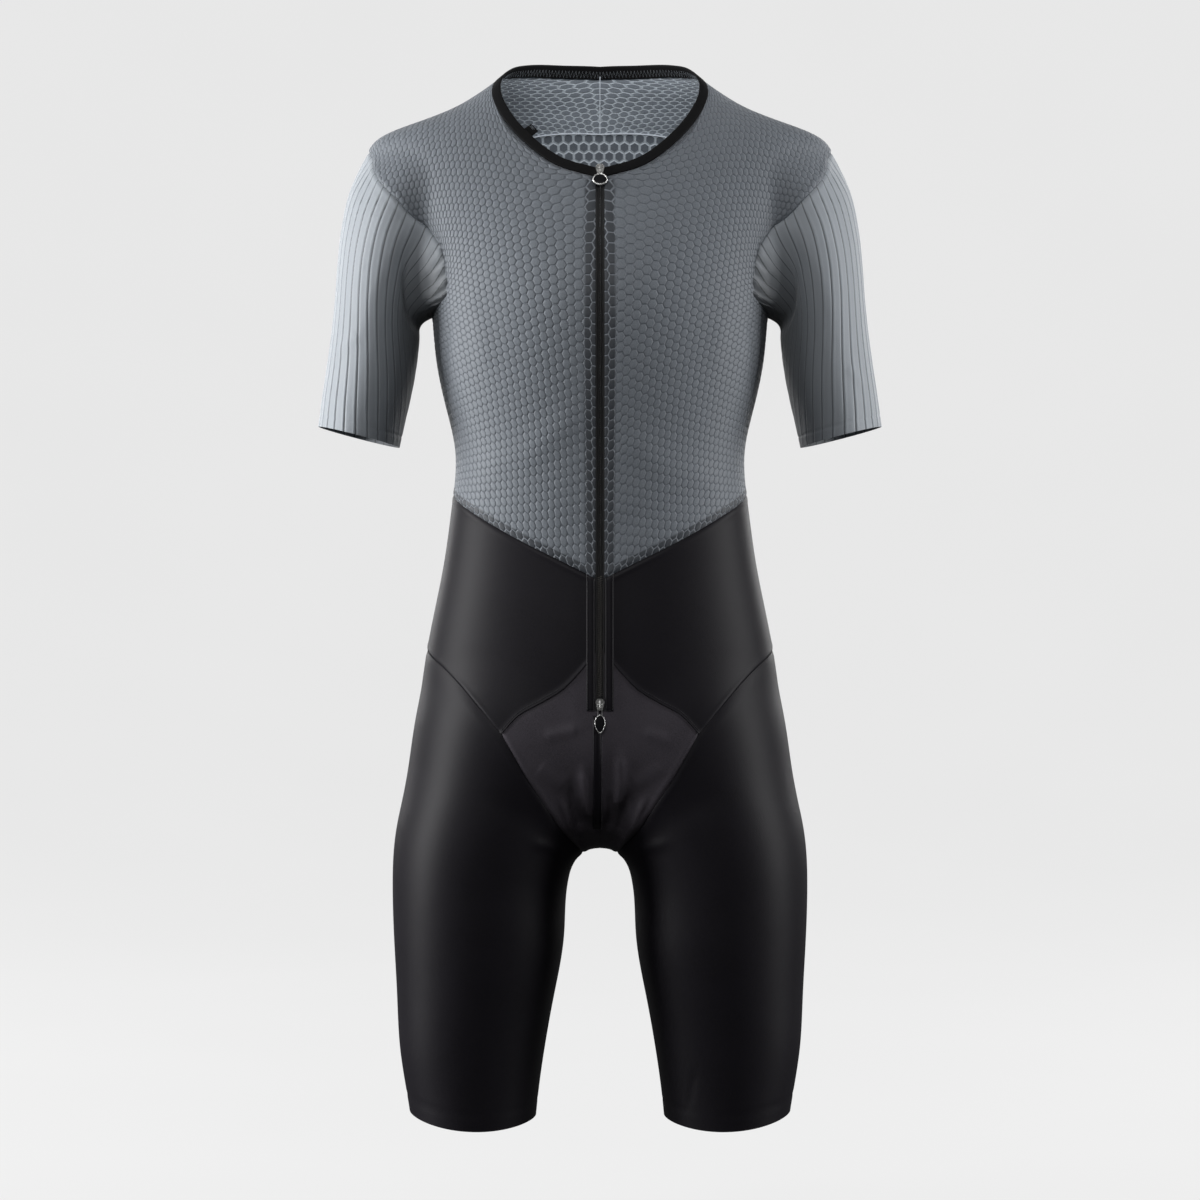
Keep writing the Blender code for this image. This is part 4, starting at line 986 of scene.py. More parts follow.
def finer_grid(grid, fine, row_breaks=((), ()), column_breaks=((), ()), closed=False):
    """A grid cut finer both ways. Breaks are corners of its edges: of the first and last column,
    and of the first and last row. A closed grid gets its first column again as its last one."""
    row_steps, column_steps = fine

    def cut(at_rows=(), at_columns=()):
        rows = finer_line(grid, row_steps, at_rows)
        across = finer_line(rows.swapaxes(0, 1), column_steps, at_columns, closed)
        return across.swapaxes(0, 1)

    made = cut()
    for side, breaks in enumerate(row_breaks):
        if breaks:
            away = np.arange(made.shape[1]) / column_steps
            away = away[::-1] if side else away
            share = np.clip(1 - away / 2, 0, 1)[None, :, None] ** 2
            made = made * (1 - share) + cut(at_rows=breaks) * share
    for side, breaks in enumerate(column_breaks):
        if breaks:
            away = np.arange(made.shape[0]) / row_steps
            away = away[::-1] if side else away
            share = np.clip(1 - away / 2, 0, 1)[:, None, None] ** 2
            made = made * (1 - share) + cut(at_columns=breaks) * share
    return made


def runs(grid):
    """Distances along a grid's rows and columns, from the first and to the last."""
    up = np.linalg.norm(np.diff(grid, axis=0), axis=2)
    across = np.linalg.norm(np.diff(grid, axis=1), axis=2)
    from_first = np.concatenate([np.zeros((1, grid.shape[1])), np.cumsum(up, axis=0)])
    from_left = np.concatenate([np.zeros((grid.shape[0], 1)), np.cumsum(across, axis=1)], axis=1)
    return {
        "first": from_first, "last": from_first[-1:] - from_first,
        "left": from_left, "right": from_left[:, -1:] - from_left,
    }


def soft_line(away, width):
    """1 on a line, falling off softly on both sides of it."""
    return np.exp(-((away / width) ** 2))


def left_half(points):
    """The points brought over to the wearer's left half."""
    half = points.copy()
    half[..., 0] = np.abs(half[..., 0])
    return half


def nearest_edge(far, *edges):
    """How far each point is from the nearest of some edges."""
    return functools.reduce(np.minimum, [far[edge] for edge in edges])


def crease_height(points, creases, side):
    """How far the creases lift the cloth at each point. Points are the wearer's left half's."""
    height = np.zeros(points.shape[:-1])
    for own_side, line, half_width, lift in creases:
        if own_side in (0, side):
            line = settled(np.array(line), 4)
            reach = CREASE_REACH * half_width
            low, high = line.min(0) - reach, line.max(0) + reach
            near = ((points > low) & (points < high)).all(-1)
            spots = points[near]
            if len(spots):
                length = np.linalg.norm(np.diff(line, axis=0), axis=1)
                start_at = np.concatenate([[0], np.cumsum(length)])
                best, along_best = np.full(len(spots), 1.0), np.zeros(len(spots))
                for k in range(len(line) - 1):
                    step = line[k + 1] - line[k]
                    share = np.clip((spots - line[k]) @ step / (step @ step), 0, 1)
                    away = np.linalg.norm(spots - line[k] - share[:, None] * step, axis=1)
                    nearer = away < best
                    best = np.where(nearer, away, best)
                    along_best = np.where(nearer, start_at[k] + share * length[k], along_best)
                along = along_best / start_at[-1]
                fade = np.clip(np.minimum(along, 1 - along) * CREASE_FADE + CREASE_END, 0, 1)
                height[near] += lift * fade * soft_line(best, half_width)
    return height


def creases_across(grid, creases):
    """The creases of a panel that lies across both halves."""
    half = left_half(grid)
    left, right = (crease_height(half, creases, side) for side in (1, -1))
    return np.where(grid[..., 0] < 0, right, left)


def fold_height(points):
    """The folds that the solids have, the same on both sides."""
    same_side = left_half(points)
    height = np.zeros(points.shape[:-1])
    for start, end, half_width, lift in SOLID_FOLDS:
        start, end = np.array(start), np.array(end)
        along = ((same_side - start) @ (end - start)) / ((end - start) @ (end - start))
        nearest = start + np.clip(along, 0, 1)[..., None] * (end - start)
        away = np.linalg.norm(same_side - nearest, axis=-1)
        fade = np.clip(SOLID_FOLD_FADE - np.clip(along, 0, 1), 0, 1)
        height += lift * fade * soft_line(away, half_width)
    return height


def seam_height(away):
    """Cloth beside a seam: it dips into the seam and stands up a little over the seam's edges."""
    dip = -SEAM_SINK * soft_line(away, SEAM_REACH)
    return dip + SEAM_RIDGE * soft_line(away - SEAM_RIDGE_AT, SEAM_RIDGE_WIDTH)


def lattice_at(u, v, table, tilt):
    """Cell coordinates of a cloth point u across and v up the panel, with one cell for each step."""
    heights = np.linspace(0, LATTICE_REACH, LATTICE_SAMPLES)
    table = np.array(table)
    spacing = spline(table[:, 0], table[:, 1])(heights)
    rows = spline(table[:, 0], table[:, 2])(heights)
    cells_up = np.cumsum(math.sin(tilt) / spacing) * (heights[1] - heights[0])
    rows_up = np.cumsum(math.cos(tilt) * CELL_ROW_RATIO / rows) * (heights[1] - heights[0])
    x = math.cos(tilt) * u / np.interp(v, heights, spacing) + np.interp(v, heights, cells_up)
    y = -math.sin(tilt) * u * CELL_ROW_RATIO / np.interp(v, heights, rows)
    y = y + np.interp(v, heights, rows_up)
    return x + LATTICE_SHIFT, y + LATTICE_SHIFT * CELL_ROW_RATIO


def cell_share(x, y):
    """0 on the threads between the cells, 1 inside a cell."""
    period = np.array([1.0, 2 * CELL_ROW_RATIO])
    spot = np.stack([x, y], axis=-1)
    first = np.mod(spot, period) - period / 2
    second = np.mod(spot + period / 2, period) - period / 2
    nearer = (first**2).sum(-1, keepdims=True) < (second**2).sum(-1, keepdims=True)
    away = np.abs(np.where(nearer, first, second))
    edge = 0.5 - np.maximum(away[..., 0], 0.5 * away[..., 0] + CELL_ROW_RATIO * away[..., 1])
    share = np.clip((edge - THREAD_HALF) / CELL_LINE_EDGE, 0, 1)
    return share * share * (3 - 2 * share)


def mesh_cells(across, up, table, tilt, edge):
    """The cloth's cell coordinates, and how far the lines between its cells sink."""
    x, y = lattice_at(across, up, table, tilt)
    depth = settings("cloth").cell_depth * (1 - cell_share(x, y))
    relief = depth * np.clip(edge / RELIEF_STARTS_OVER, 0, 1)
    return np.stack([x, y, np.zeros_like(x)], axis=-1), relief


def shell(name, outer, inner_steps, thick, normal, side=1, values=None, colour=None, closed=False):
    """A thin cloth shell: a fine outer face, a plainer inner one and a rim between them.
    Values are numbers or vectors for each outer point, kept as the mesh's attributes."""
    rows, columns = outer.shape[:2]
    row_step, column_step = inner_steps
    inner = (outer - normal * thick)[::row_step, ::column_step]
    flip = np.array((side, 1, 1))
    points = np.concatenate([outer.reshape(-1, 3), inner.reshape(-1, 3)]) * flip
    behind = rows * columns
    inner_rows, inner_columns = inner.shape[:2]

    def quads(height, width, first):
        index = first + np.arange(height * width).reshape(height, width)
        corners = (index[:-1, :-1], index[:-1, 1:], index[1:, 1:], index[1:, :-1])
        return np.stack(corners, axis=-1).reshape(-1, 4)

    row, column = rows // 2, columns // 2
    ahead = np.cross(outer[row, column + 1] - outer[row, column], outer[row + 1, column] - outer[row, column])
    turned = (side > 0) == bool(ahead @ normal[row, column] > 0)
    front, back = quads(rows, columns, 0), quads(inner_rows, inner_columns, behind)
    faces = (front if turned else front[:, ::-1]).tolist()
    faces += (back[:, ::-1] if turned else back).tolist()
    index = np.arange(rows * columns).reshape(rows, columns)
    inside = behind + np.arange(inner_rows * inner_columns).reshape(inner_rows, inner_columns)
    edges = (
        (index[0, ::-1], inside[0, ::-1], column_step),
        (index[-1], inside[-1], column_step),
        (index[:, 0], inside[:, 0], row_step),
        (index[::-1, -1], inside[::-1, -1], row_step),
    )
    for line, behind_line, step in edges[: 2 if closed else 4]:
        for k in range(len(behind_line) - 1):
            here, there = int(behind_line[k]), int(behind_line[k + 1])
            fan = [int(p) for p in line[k * step : (k + 1) * step + 1]]
            middle = len(fan) // 2
            made = [(fan[i + 1], fan[i], here if i < middle else there) for i in range(step)]
            made.append((fan[middle], here, there))
            faces += made if not turned else [face[::-1] for face in made]
    found = values_of(values, outer, inner_steps)
    if closed:
        joins = ((index[:, -1], index[:, 0]), (inside[:, -1], inside[:, 0]))
        points, faces, found = welded(points, faces, found, joins)
    return mesh_object(name, points, faces, colour, found)


def welded(points, faces, values, joins):
    """A tube's last column joined to its first. Values go to the faces' corners, where a value
    that counts round the tube can start again."""
    same = np.arange(len(points))
    for last, first in joins:
        same[last] = first
    kept, number = np.unique(same, return_inverse=True)
    corners = np.concatenate([np.array(face) for face in faces])
    at_corners = {name: value[corners] for name, value in values.items()}
    return points[kept], [[int(number[corner]) for corner in face] for face in faces], at_corners


def values_of(values, outer, inner_steps):
    """Each value for the outer points and then for the inner ones that lie behind them."""
    found = {}
    for name, value in (values or {}).items():
        value = np.broadcast_to(value, outer.shape[:2] + np.shape(value)[2:])
        wide = value.shape[2:]
        behind = value[:: inner_steps[0], :: inner_steps[1]]
        found[name] = np.concatenate([value.reshape((-1,) + wide), behind.reshape((-1,) + wide)])
    return found


def mesh_object(name, points, faces, colour, values=None):
    mesh = bpy.data.meshes.new(name)
    mesh.from_pydata(np.asarray(points).tolist(), [], faces)
    for label, value in (values or {}).items():
        kind = "FLOAT_VECTOR" if value.ndim == 2 else "FLOAT"
        place = "POINT" if len(value) == len(mesh.vertices) else "CORNER"
        attribute = mesh.attributes.new(label, kind, place)
        attribute.data.foreach_set("vector" if value.ndim == 2 else "value", value.ravel())
    mesh.shade_smooth()
    mesh.set_sharp_from_angle(angle=PIECE_SHARP_ANGLE)
    made = bpy.data.objects.new(name, mesh)
    bpy.context.scene.collection.objects.link(made)
    if colour:
        mesh.materials.append(colour)
    return made


def add_node(tree, kind, inputs=None, **wanted):
    """A shader node with its settings, and its inputs given as numbers, colours or other outputs."""
    made = tree.nodes.new(f"ShaderNode{kind}")
    for name, value in wanted.items():
        setattr(made, name, value)
    for name, value in (inputs or {}).items():
        if isinstance(value, bpy.types.NodeSocket):
            tree.links.new(value, made.inputs[name])
        else:
            made.inputs[name].default_value = value
    return made


def calc(tree, operation, *values):
    """A Math node's result."""
    return add_node(tree, "Math", dict(enumerate(values)), operation=operation).outputs[0]


def calc_vector(tree, operation, *values):
    """A Vector Math node."""
    return add_node(tree, "VectorMath", dict(enumerate(values)), operation=operation)


def blend_colour(tree, factor, first, second):
    """Two colours mixed. Colours are outputs or red, green and blue."""
    colours = [c if isinstance(c, bpy.types.NodeSocket) else (*c, 1.0) for c in (first, second)]
    inputs = {0: factor, 6: colours[0], 7: colours[1]}
    return add_node(tree, "Mix", inputs, data_type="RGBA").outputs[2]


def lighter(colour, times):
    """A colour times a number, and no lighter than white."""
    return tuple(min(1.0, c * times) for c in colour)


def ramp(tree, value, low, high, to_low=0.0, to_high=1.0):
    """A soft step from one number to another."""
    inputs = {"Value": value, "From Min": low, "From Max": high, "To Min": to_low, "To Max": to_high}
    made = add_node(tree, "MapRange", inputs, interpolation_type="SMOOTHSTEP")
    return made.outputs[0]


def attribute(tree, name, output="Fac"):
    return add_node(tree, "Attribute", attribute_name=name, attribute_type="GEOMETRY").outputs[output]


def new_material(name, colour, roughness, sheen=0.0, sheen_roughness=0.5, metallic=0.0):
    """A material round one Principled shader: its tree, and the shader to link into."""
    material = bpy.data.materials.new(name)
    material.use_nodes = True
    tree = material.node_tree
    shader = tree.nodes["Principled BSDF"]
    shader.inputs["Base Color"].default_value = (*colour, 1.0)
    shader.inputs["Roughness"].default_value = roughness
    shader.inputs["Metallic"].default_value = metallic
    shader.inputs["Sheen Weight"].default_value = sheen
    shader.inputs["Sheen Roughness"].default_value = sheen_roughness
    return material, tree, shader


def add_bump(tree, shader, height, distance, strength=1.0):
    inputs = {"Height": height, "Distance": distance, "Strength": strength}
    bump = add_node(tree, "Bump", inputs)
    tree.links.new(bump.outputs[0], shader.inputs["Normal"])


def knit_grain(tree, scale, detail=3.0):
    """Fine uneven grain of a knit, in the cloth's own place."""
    place = add_node(tree, "TexCoord").outputs["Object"]
    return add_node(tree, "TexNoise", {"Vector": place, "Scale": scale, "Detail": detail}).outputs[0]


def cells(tree):
    """0 on the mesh's threads, 1 inside its cells, from the cloth's cell coordinates."""
    spot = attribute(tree, "cell_place", "Vector")
    period = (1.0, 2 * CELL_ROW_RATIO, 1.0)
    half = (0.5, CELL_ROW_RATIO, 0.0)
    found = []
    for shift in ((0.0, 0.0, 0.0), half):
        moved = calc_vector(tree, "ADD", spot, shift).outputs[0]
        wrapped = calc_vector(tree, "MODULO", moved, period).outputs[0]
        found.append(calc_vector(tree, "SUBTRACT", wrapped, half).outputs[0])
    sizes = [calc_vector(tree, "LENGTH", f).outputs[1] for f in found]
    nearer = calc(tree, "LESS_THAN", *sizes)
    chosen = add_node(tree, "Mix", {0: nearer, 4: found[1], 5: found[0]}, data_type="VECTOR")
    away = calc_vector(tree, "ABSOLUTE", chosen.outputs[1]).outputs[0]
    slanted = calc_vector(tree, "DOT_PRODUCT", away, (0.5, CELL_ROW_RATIO, 0.0)).outputs[1]
    across = add_node(tree, "SeparateXYZ", {0: away}).outputs[0]
    return calc(tree, "SUBTRACT", 0.5, calc(tree, "MAXIMUM", slanted, across))


def mesh_material(name, thread, cell_colour, line_half, open_thread=None):
    """The grey relief mesh, with lines round its cells. Open threads are where black tape is behind."""
    cloth = settings("cloth")
    material, tree, shader = new_material(name, thread, 0.62, sheen=0.12)
    edge = cells(tree)
    cell = ramp(tree, edge, line_half, line_half + 0.06)
    behind = attribute(tree, "backed")
    backed = blend_colour(tree, behind, cell_colour, tuple(cloth.backed_grey))
    thread = blend_colour(tree, behind, thread, open_thread or thread)
    grain = knit_grain(tree, MESH_GRAIN)
    colour = blend_colour(tree, cell, thread, backed)
    shade = ramp(tree, grain, 0.3, 0.7, 0.88, 1.10)
    toned = calc_vector(tree, "MULTIPLY", colour, shade)
    tree.links.new(toned.outputs[0], shader.inputs["Base Color"])
    relief = calc(tree, "MULTIPLY_ADD", grain, 0.2, ramp(tree, edge, 0.01, 0.12))
    add_bump(tree, shader, relief, MESH_RELIEF)
    return material


def rib_material():
    """The sleeves' knit: fine wales, a painted shadow in each groove, a painted highlight on the lip beside
    it and painted shade under the arm.
    """
    cloth = settings("cloth")
    material, tree, shader = new_material("sleeve_rib_knit", cloth.rib_grey, 0.58, sheen=0.15)
    phase = attribute(tree, "rib_place")
    share = calc(tree, "FRACT", phase)
    near = calc(tree, "MINIMUM", share, calc(tree, "SUBTRACT", 1.0, share))
    away = calc(tree, "MULTIPLY", near, cloth.rib_spacing)
    # Painted shadow in the groove, and a painted highlight on the lip beside it.
    groove = ramp(tree, away, *GROOVE_SHADE, 1.0, 0.0)
    past_groove = calc(tree, "MULTIPLY", share, cloth.rib_spacing)
    from_lip = calc(tree, "ABSOLUTE", calc(tree, "SUBTRACT", past_groove, LIP_HIGHLIGHT_AT))
    lip = ramp(tree, from_lip, 0.0, LIP_HIGHLIGHT_WIDTH, 1.0, 0.0)
    rib = tuple(cloth.rib_grey)
    colour = blend_colour(tree, calc(tree, "MULTIPLY", lip, 0.5), rib, lighter(rib, 1.35))
    colour = blend_colour(tree, groove, colour, lighter(rib, 0.40))
    # Painted shade: the knit's colour is darkened under the arm.
    painted_underarm_shade = calc(tree, "MULTIPLY_ADD", attribute(tree, "underarm"), -cloth.underarm_shade, 1.0)
    toned = calc_vector(tree, "MULTIPLY", colour, painted_underarm_shade)
    tree.links.new(toned.outputs[0], shader.inputs["Base Color"])
    wales = calc(tree, "SINE", calc(tree, "MULTIPLY", phase, 2 * math.pi * WALES_IN_A_RIB))
    height = calc(tree, "MULTIPLY_ADD", wales, 0.25, knit_grain(tree, RIB_GRAIN))
    add_bump(tree, shader, height, RIB_RELIEF)
    return material


def smooth_knit_material(name, colour, roughness, sheen, scale=1400.0):
    """Smooth stretch cloth or tape: a fine grain in its colour and surface."""
    material, tree, shader = new_material(name, colour, roughness, sheen=sheen, sheen_roughness=0.45)
    shader.inputs["Specular IOR Level"].default_value = 0.12
    grain = knit_grain(tree, scale)
    wide = knit_grain(tree, CLOTH_CLOUDS, 2.0)
    tone = blend_colour(tree, ramp(tree, wide, 0.35, 0.65), lighter(colour, 0.90), lighter(colour, 1.12))
    tone = blend_colour(tree, ramp(tree, grain, 0.35, 0.65), tone, lighter(colour, 1.35))
    tree.links.new(tone, shader.inputs["Base Color"])
    add_bump(tree, shader, grain, KNIT_RELIEF)
    return material


def woven_tape_material():
    """The zip's tape: fine cross ribs of its weave."""
    tape = tuple(settings("cloth").tape_black)
    material, tree, shader = new_material("woven_zip_tape", tape, 0.6)
    place = add_node(tree, "TexCoord").outputs["Object"]
    wave = {"Vector": place, "Scale": WEFT_SCALE, "Distortion": 0.6}
    weft = add_node(tree, "TexWave", wave, bands_direction="Z")
    tone = blend_colour(tree, weft.outputs[1], lighter(tape, 0.7), lighter(tape, 2.4))
    tree.links.new(tone, shader.inputs["Base Color"])
    add_bump(tree, shader, weft.outputs[1], KNIT_RELIEF)
    return material


def metal_material(name, colour, roughness):
    """Brushed zip metal, with a fine uneven polish."""
    material, tree, shader = new_material(name, colour, roughness, metallic=1.0)
    polish = knit_grain(tree, METAL_GRAIN)
    uneven = ramp(tree, polish, 0.3, 0.7, roughness * 0.8, roughness * 1.3)
    tree.links.new(uneven, shader.inputs["Roughness"])
    add_bump(tree, shader, polish, METAL_RELIEF)
    return material


def studio_material(name, colour):
    """Pale paper of the floor and backdrop, with a faint unevenness."""
    material, tree, shader = new_material(name, (0.0, 0.0, 0.0), 0.9)
    shader.inputs["Emission Strength"].default_value = 1.0
    cloud = knit_grain(tree, 2.0, 2.0)
    tone = blend_colour(tree, cloud, lighter(colour, 0.985), lighter(colour, 1.01))
    tree.links.new(tone, shader.inputs["Emission Color"])
    return material


# Colours of the small parts.
SEAM_THREAD = (0.06, 0.058, 0.066)
RIDGE_GREY = (0.58, 0.63, 0.69)
COIL_NYLON = (0.085, 0.080, 0.076)
ENAMEL_BLACK = (0.006, 0.006, 0.007)


@functools.lru_cache(maxsize=None)
def finish(name):
    """Each finish of the suit, made once."""
    cloth, zip_parts, sewing = settings("cloth"), settings("zip"), settings("sewing")
    makers = {
        # The outside mesh: its sunken lines are darkened with painted shade.
        "mesh": lambda: mesh_material(
            "relief_mesh_outside", cloth.shaded_line_grey, cloth.mesh_grey, 0.03, tuple(cloth.open_thread_grey)
        ),
        # Painted light: the inner faces are lighter copies of the mesh's colours.
        "mesh_inside": lambda: mesh_material("yoke_inside", cloth.lit_inside_thread, cloth.lit_inside_cell, 0.09),
        "back_inside": lambda: mesh_material("back_inside", cloth.lit_inside_thread, cloth.back_cell, 0.09),
        "rib": rib_material,
        "shorts": lambda: smooth_knit_material("smooth_shorts_knit", cloth.shorts_black, 0.50, 0.0),
        # Partly painted sheen: the crotch fronts' colour holds the highlight of a front light.
        "crotch": lambda: smooth_knit_material("smooth_crotch_knit", cloth.crotch_black_and_sheen, 0.50, 0.0),
        "tape": lambda: smooth_knit_material("matt_tape", cloth.tape_black, 0.75, 0.0, 2200.0),
        "grey_thread": lambda: smooth_knit_material("grey_thread", sewing.thread_grey, 0.6, 0.1, 4000.0),
        "black_thread": lambda: smooth_knit_material("black_thread", sewing.thread_black, 0.5, 0.1, 4000.0),
        "seam_thread": lambda: smooth_knit_material("seam_thread", SEAM_THREAD, 0.6, 0.1, 4000.0),
        "seam_ridge": lambda: smooth_knit_material("grey_seam_ridge", RIDGE_GREY, 0.6, 0.1, 2000.0),
        "woven_tape": woven_tape_material,
        "coil": lambda: smooth_knit_material("coil_nylon", COIL_NYLON, 0.35, 0.0, 3000.0),
        "metal": lambda: metal_material("slider_metal_satin", zip_parts.slider_metal, 0.28),
        "dark_enamel": lambda: smooth_knit_material("dark_enamel", ENAMEL_BLACK, 0.30, 0.0, 900.0),
    }
    return makers[name]()


def add_piece(made, body, nodes):
    """A piece of the suit: it rides on a body and stands for its nodes, which are hidden."""
    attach(made, body)
    if nodes:
        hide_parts(*nodes)
    return made


def set_inside(made, outer_quads, inside):
    """The inner face of a shell gets the cloth's inside finish."""
    made.data.materials.append(inside)
    index = np.zeros(len(made.data.polygons), dtype=np.int32)
    index[outer_quads:] = 1
    made.data.polygons.foreach_set("material_index", index)


class SKINSUIT_OT_fronts(bpy.types.Operator):
    """The two mesh fronts, cut in one with the shoulders and the upper back"""
    bl_idname = "skinsuit.fronts"
    bl_label = "Mesh fronts"

    def execute(self, context):
        corners = ((ZIP_STEPS, ZIP_STEPS + NECK_STEPS), (SIDE_STEPS,))
        grid = finer_grid(front_grid(seams()), FRONT_FINE, row_breaks=corners)
        grid = settled(inset(grid), 3)
        normal = outward(grid)
        far = runs(grid)
        rows, columns = grid.shape[:2]
        across = np.linspace(0, FRONT_WIDTH, columns)[None]
        up = far["first"].mean(axis=1)[:, None]
        zip_rows = (np.arange(rows) <= ZIP_STEPS * FRONT_FINE[0])[:, None]
        neck_rows = (np.arange(rows) < (ZIP_STEPS + NECK_STEPS // 2) * FRONT_FINE[0])[:, None]
        backed = np.where(zip_rows, strip(far["left"], BACKED_BESIDE_ZIP), 0)
        backed = np.maximum(backed, strip(far["first"], BACKED_AT_WAIST))
        below_neck = BACKED_NECK_SHARE * strip(far["left"], BACKED_BELOW_NECK)
        backed = np.maximum(backed, np.where(neck_rows & ~zip_rows, below_neck, 0))
        sewn = nearest_edge(far, "first", "last", "right")
        sewn = np.where(zip_rows, sewn, np.minimum(sewn, far["left"]))
        edge = np.minimum(sewn, far["left"])
        places, relief = mesh_cells(across, up, LATTICE, LATTICE_TILT, edge)
        folded = np.where(zip_rows, -ZIP_EDGE_FOLD * soft_line(far["left"], ZIP_EDGE_WIDTH), 0)
        shared = fold_height(grid) + seam_height(sewn) + folded - relief
        for side, label in ((1, "left"), (-1, "right")):
            height = shared + crease_height(grid, FRONT_CREASES, side)
            outer = grid + normal * height[..., None]
            values = {"cell_place": places, "backed": backed}
            made = shell(f"front_{label}", outer, (4, 2), CLOTH, normal, side, values, finish("mesh"))
            set_inside(made, (rows - 1) * (columns - 1), finish("mesh_inside"))
            add_piece(made, "root", [f"front_panel_{label}"])
        return {"FINISHED"}


def strip(away, width):
    """1 within a width of an edge, and 0 past it, with a soft end."""
    return np.clip((width - away) / BACKED_EDGE + 0.5, 0, 1)


class SKINSUIT_OT_back(bpy.types.Operator):
    """The mesh lower back, from the yoke seam to the back waist seam"""
    bl_idname = "skinsuit.back"
    bl_label = "Mesh back"

    def execute(self, context):
        corner = (ARMHOLE_STEPS - ARMHOLE_TO_YOKE,)
        grid = finer_grid(back_grid(seams()), BACK_FINE, row_breaks=(corner, corner))
        grid = settled(inset(grid), 3)
        normal = outward(grid)
        far = runs(grid)
        rows, columns = grid.shape[:2]
        across = np.linspace(-FRONT_WIDTH, FRONT_WIDTH, columns)[None] + FRONT_WIDTH
        up = far["last"].mean(axis=1)[:, None]
        edge = nearest_edge(far, "first", "last", "left", "right")
        backed = strip(far["last"], BACKED_AT_WAIST)
        places, relief = mesh_cells(across, up, BACK_LATTICE, 0.0, edge)
        creases = creases_across(grid, BACK_CREASES)
        height = fold_height(grid) + seam_height(edge) - relief + creases
        values = {"cell_place": places, "backed": backed}
        outer = grid + normal * height[..., None]
        made = shell("back", outer, (3, 4), CLOTH, normal, 1, values, finish("mesh"))
        set_inside(made, (rows - 1) * (columns - 1), finish("back_inside"))
        add_piece(made, "root", ["back_panel"])
        return {"FINISHED"}


class SKINSUIT_OT_sleeves(bpy.types.Operator):
    """The two set-in sleeves, with ribs down their length and gathers under the arms"""
    bl_idname = "skinsuit.sleeves"
    bl_label = "Ribbed sleeves"

    def execute(self, context):
        cloth = settings("cloth")
        coarse, away = sleeve_grid(seams())
        grid = finer_grid(coarse, SLEEVE_FINE, closed=True)
        away = finer_line(away, SLEEVE_FINE[0])
        grid = inset(grid, closed=True, row_edges=FIRST_EDGE)
        normal = outward(grid, away)
        far = runs(grid)
        top = ARMHOLE_STEPS // 2 * SLEEVE_FINE[1]
        phase = (far["left"] - far["left"][:, top : top + 1]) / cloth.rib_spacing + RIBS_BEFORE_TOP
        share = phase - np.round(phase)
        aside = share * cloth.rib_spacing
        ramp_in = np.clip(far["first"] / RIBS_START_OVER, 0, 1)
        height = RIB_RAISE * ramp_in - cloth.rib_depth * ramp_in * soft_line(aside, GROOVE_WIDTH)
        height = height + LIP_HEIGHT * ramp_in * soft_line(aside - LIP_AT, LIP_WIDTH)
        height = height + seam_height(far["first"]) + fold_height(grid)
        height = height - CUFF_LINE_SINK * soft_line(far["last"] - CUFF_LINE_AT, CUFF_LINE_WIDTH)
        # Painted shade under the arm: whole near the underarm seam, fading towards the front and the back.
        from_under = nearest_edge(far, "left", "right") / (far["left"] + far["right"])
        shade_whole_to, shade_gone_at = UNDERARM_SHADE_SHARES
        underarm = np.clip((shade_gone_at - from_under) / (shade_gone_at - shade_whole_to), 0, 1)
        gathers = np.zeros_like(height)
        round_armhole = far["left"][:1] + GATHER_SLANT * far["first"]
        for spot, length, half_width, lift in GATHERS:
            down = np.clip(far["first"] / length, 0, 1)
            fade = (1 - down) ** GATHER_FADE * np.clip(far["first"] / GATHER_STARTS_OVER, 0.2, 1)
            gathers += lift * fade * soft_line(round_armhole - spot, half_width)
        for side, label in ((1, "left"), (-1, "right")):
            raised = height + gathers + crease_height(grid, SLEEVE_CREASES, side)
            outer = grid + normal * raised[..., None]
            values = {"rib_place": phase, "underarm": underarm}
            thick = CLOTH + RIB_RAISE * 0.5
            name = f"sleeve_{label}_piece"
            made = shell(name, outer, (2, 4), thick, normal, side, values, finish("rib"), True)
            add_piece(made, "root", [f"sleeve_{label}"])
        return {"FINISHED"}


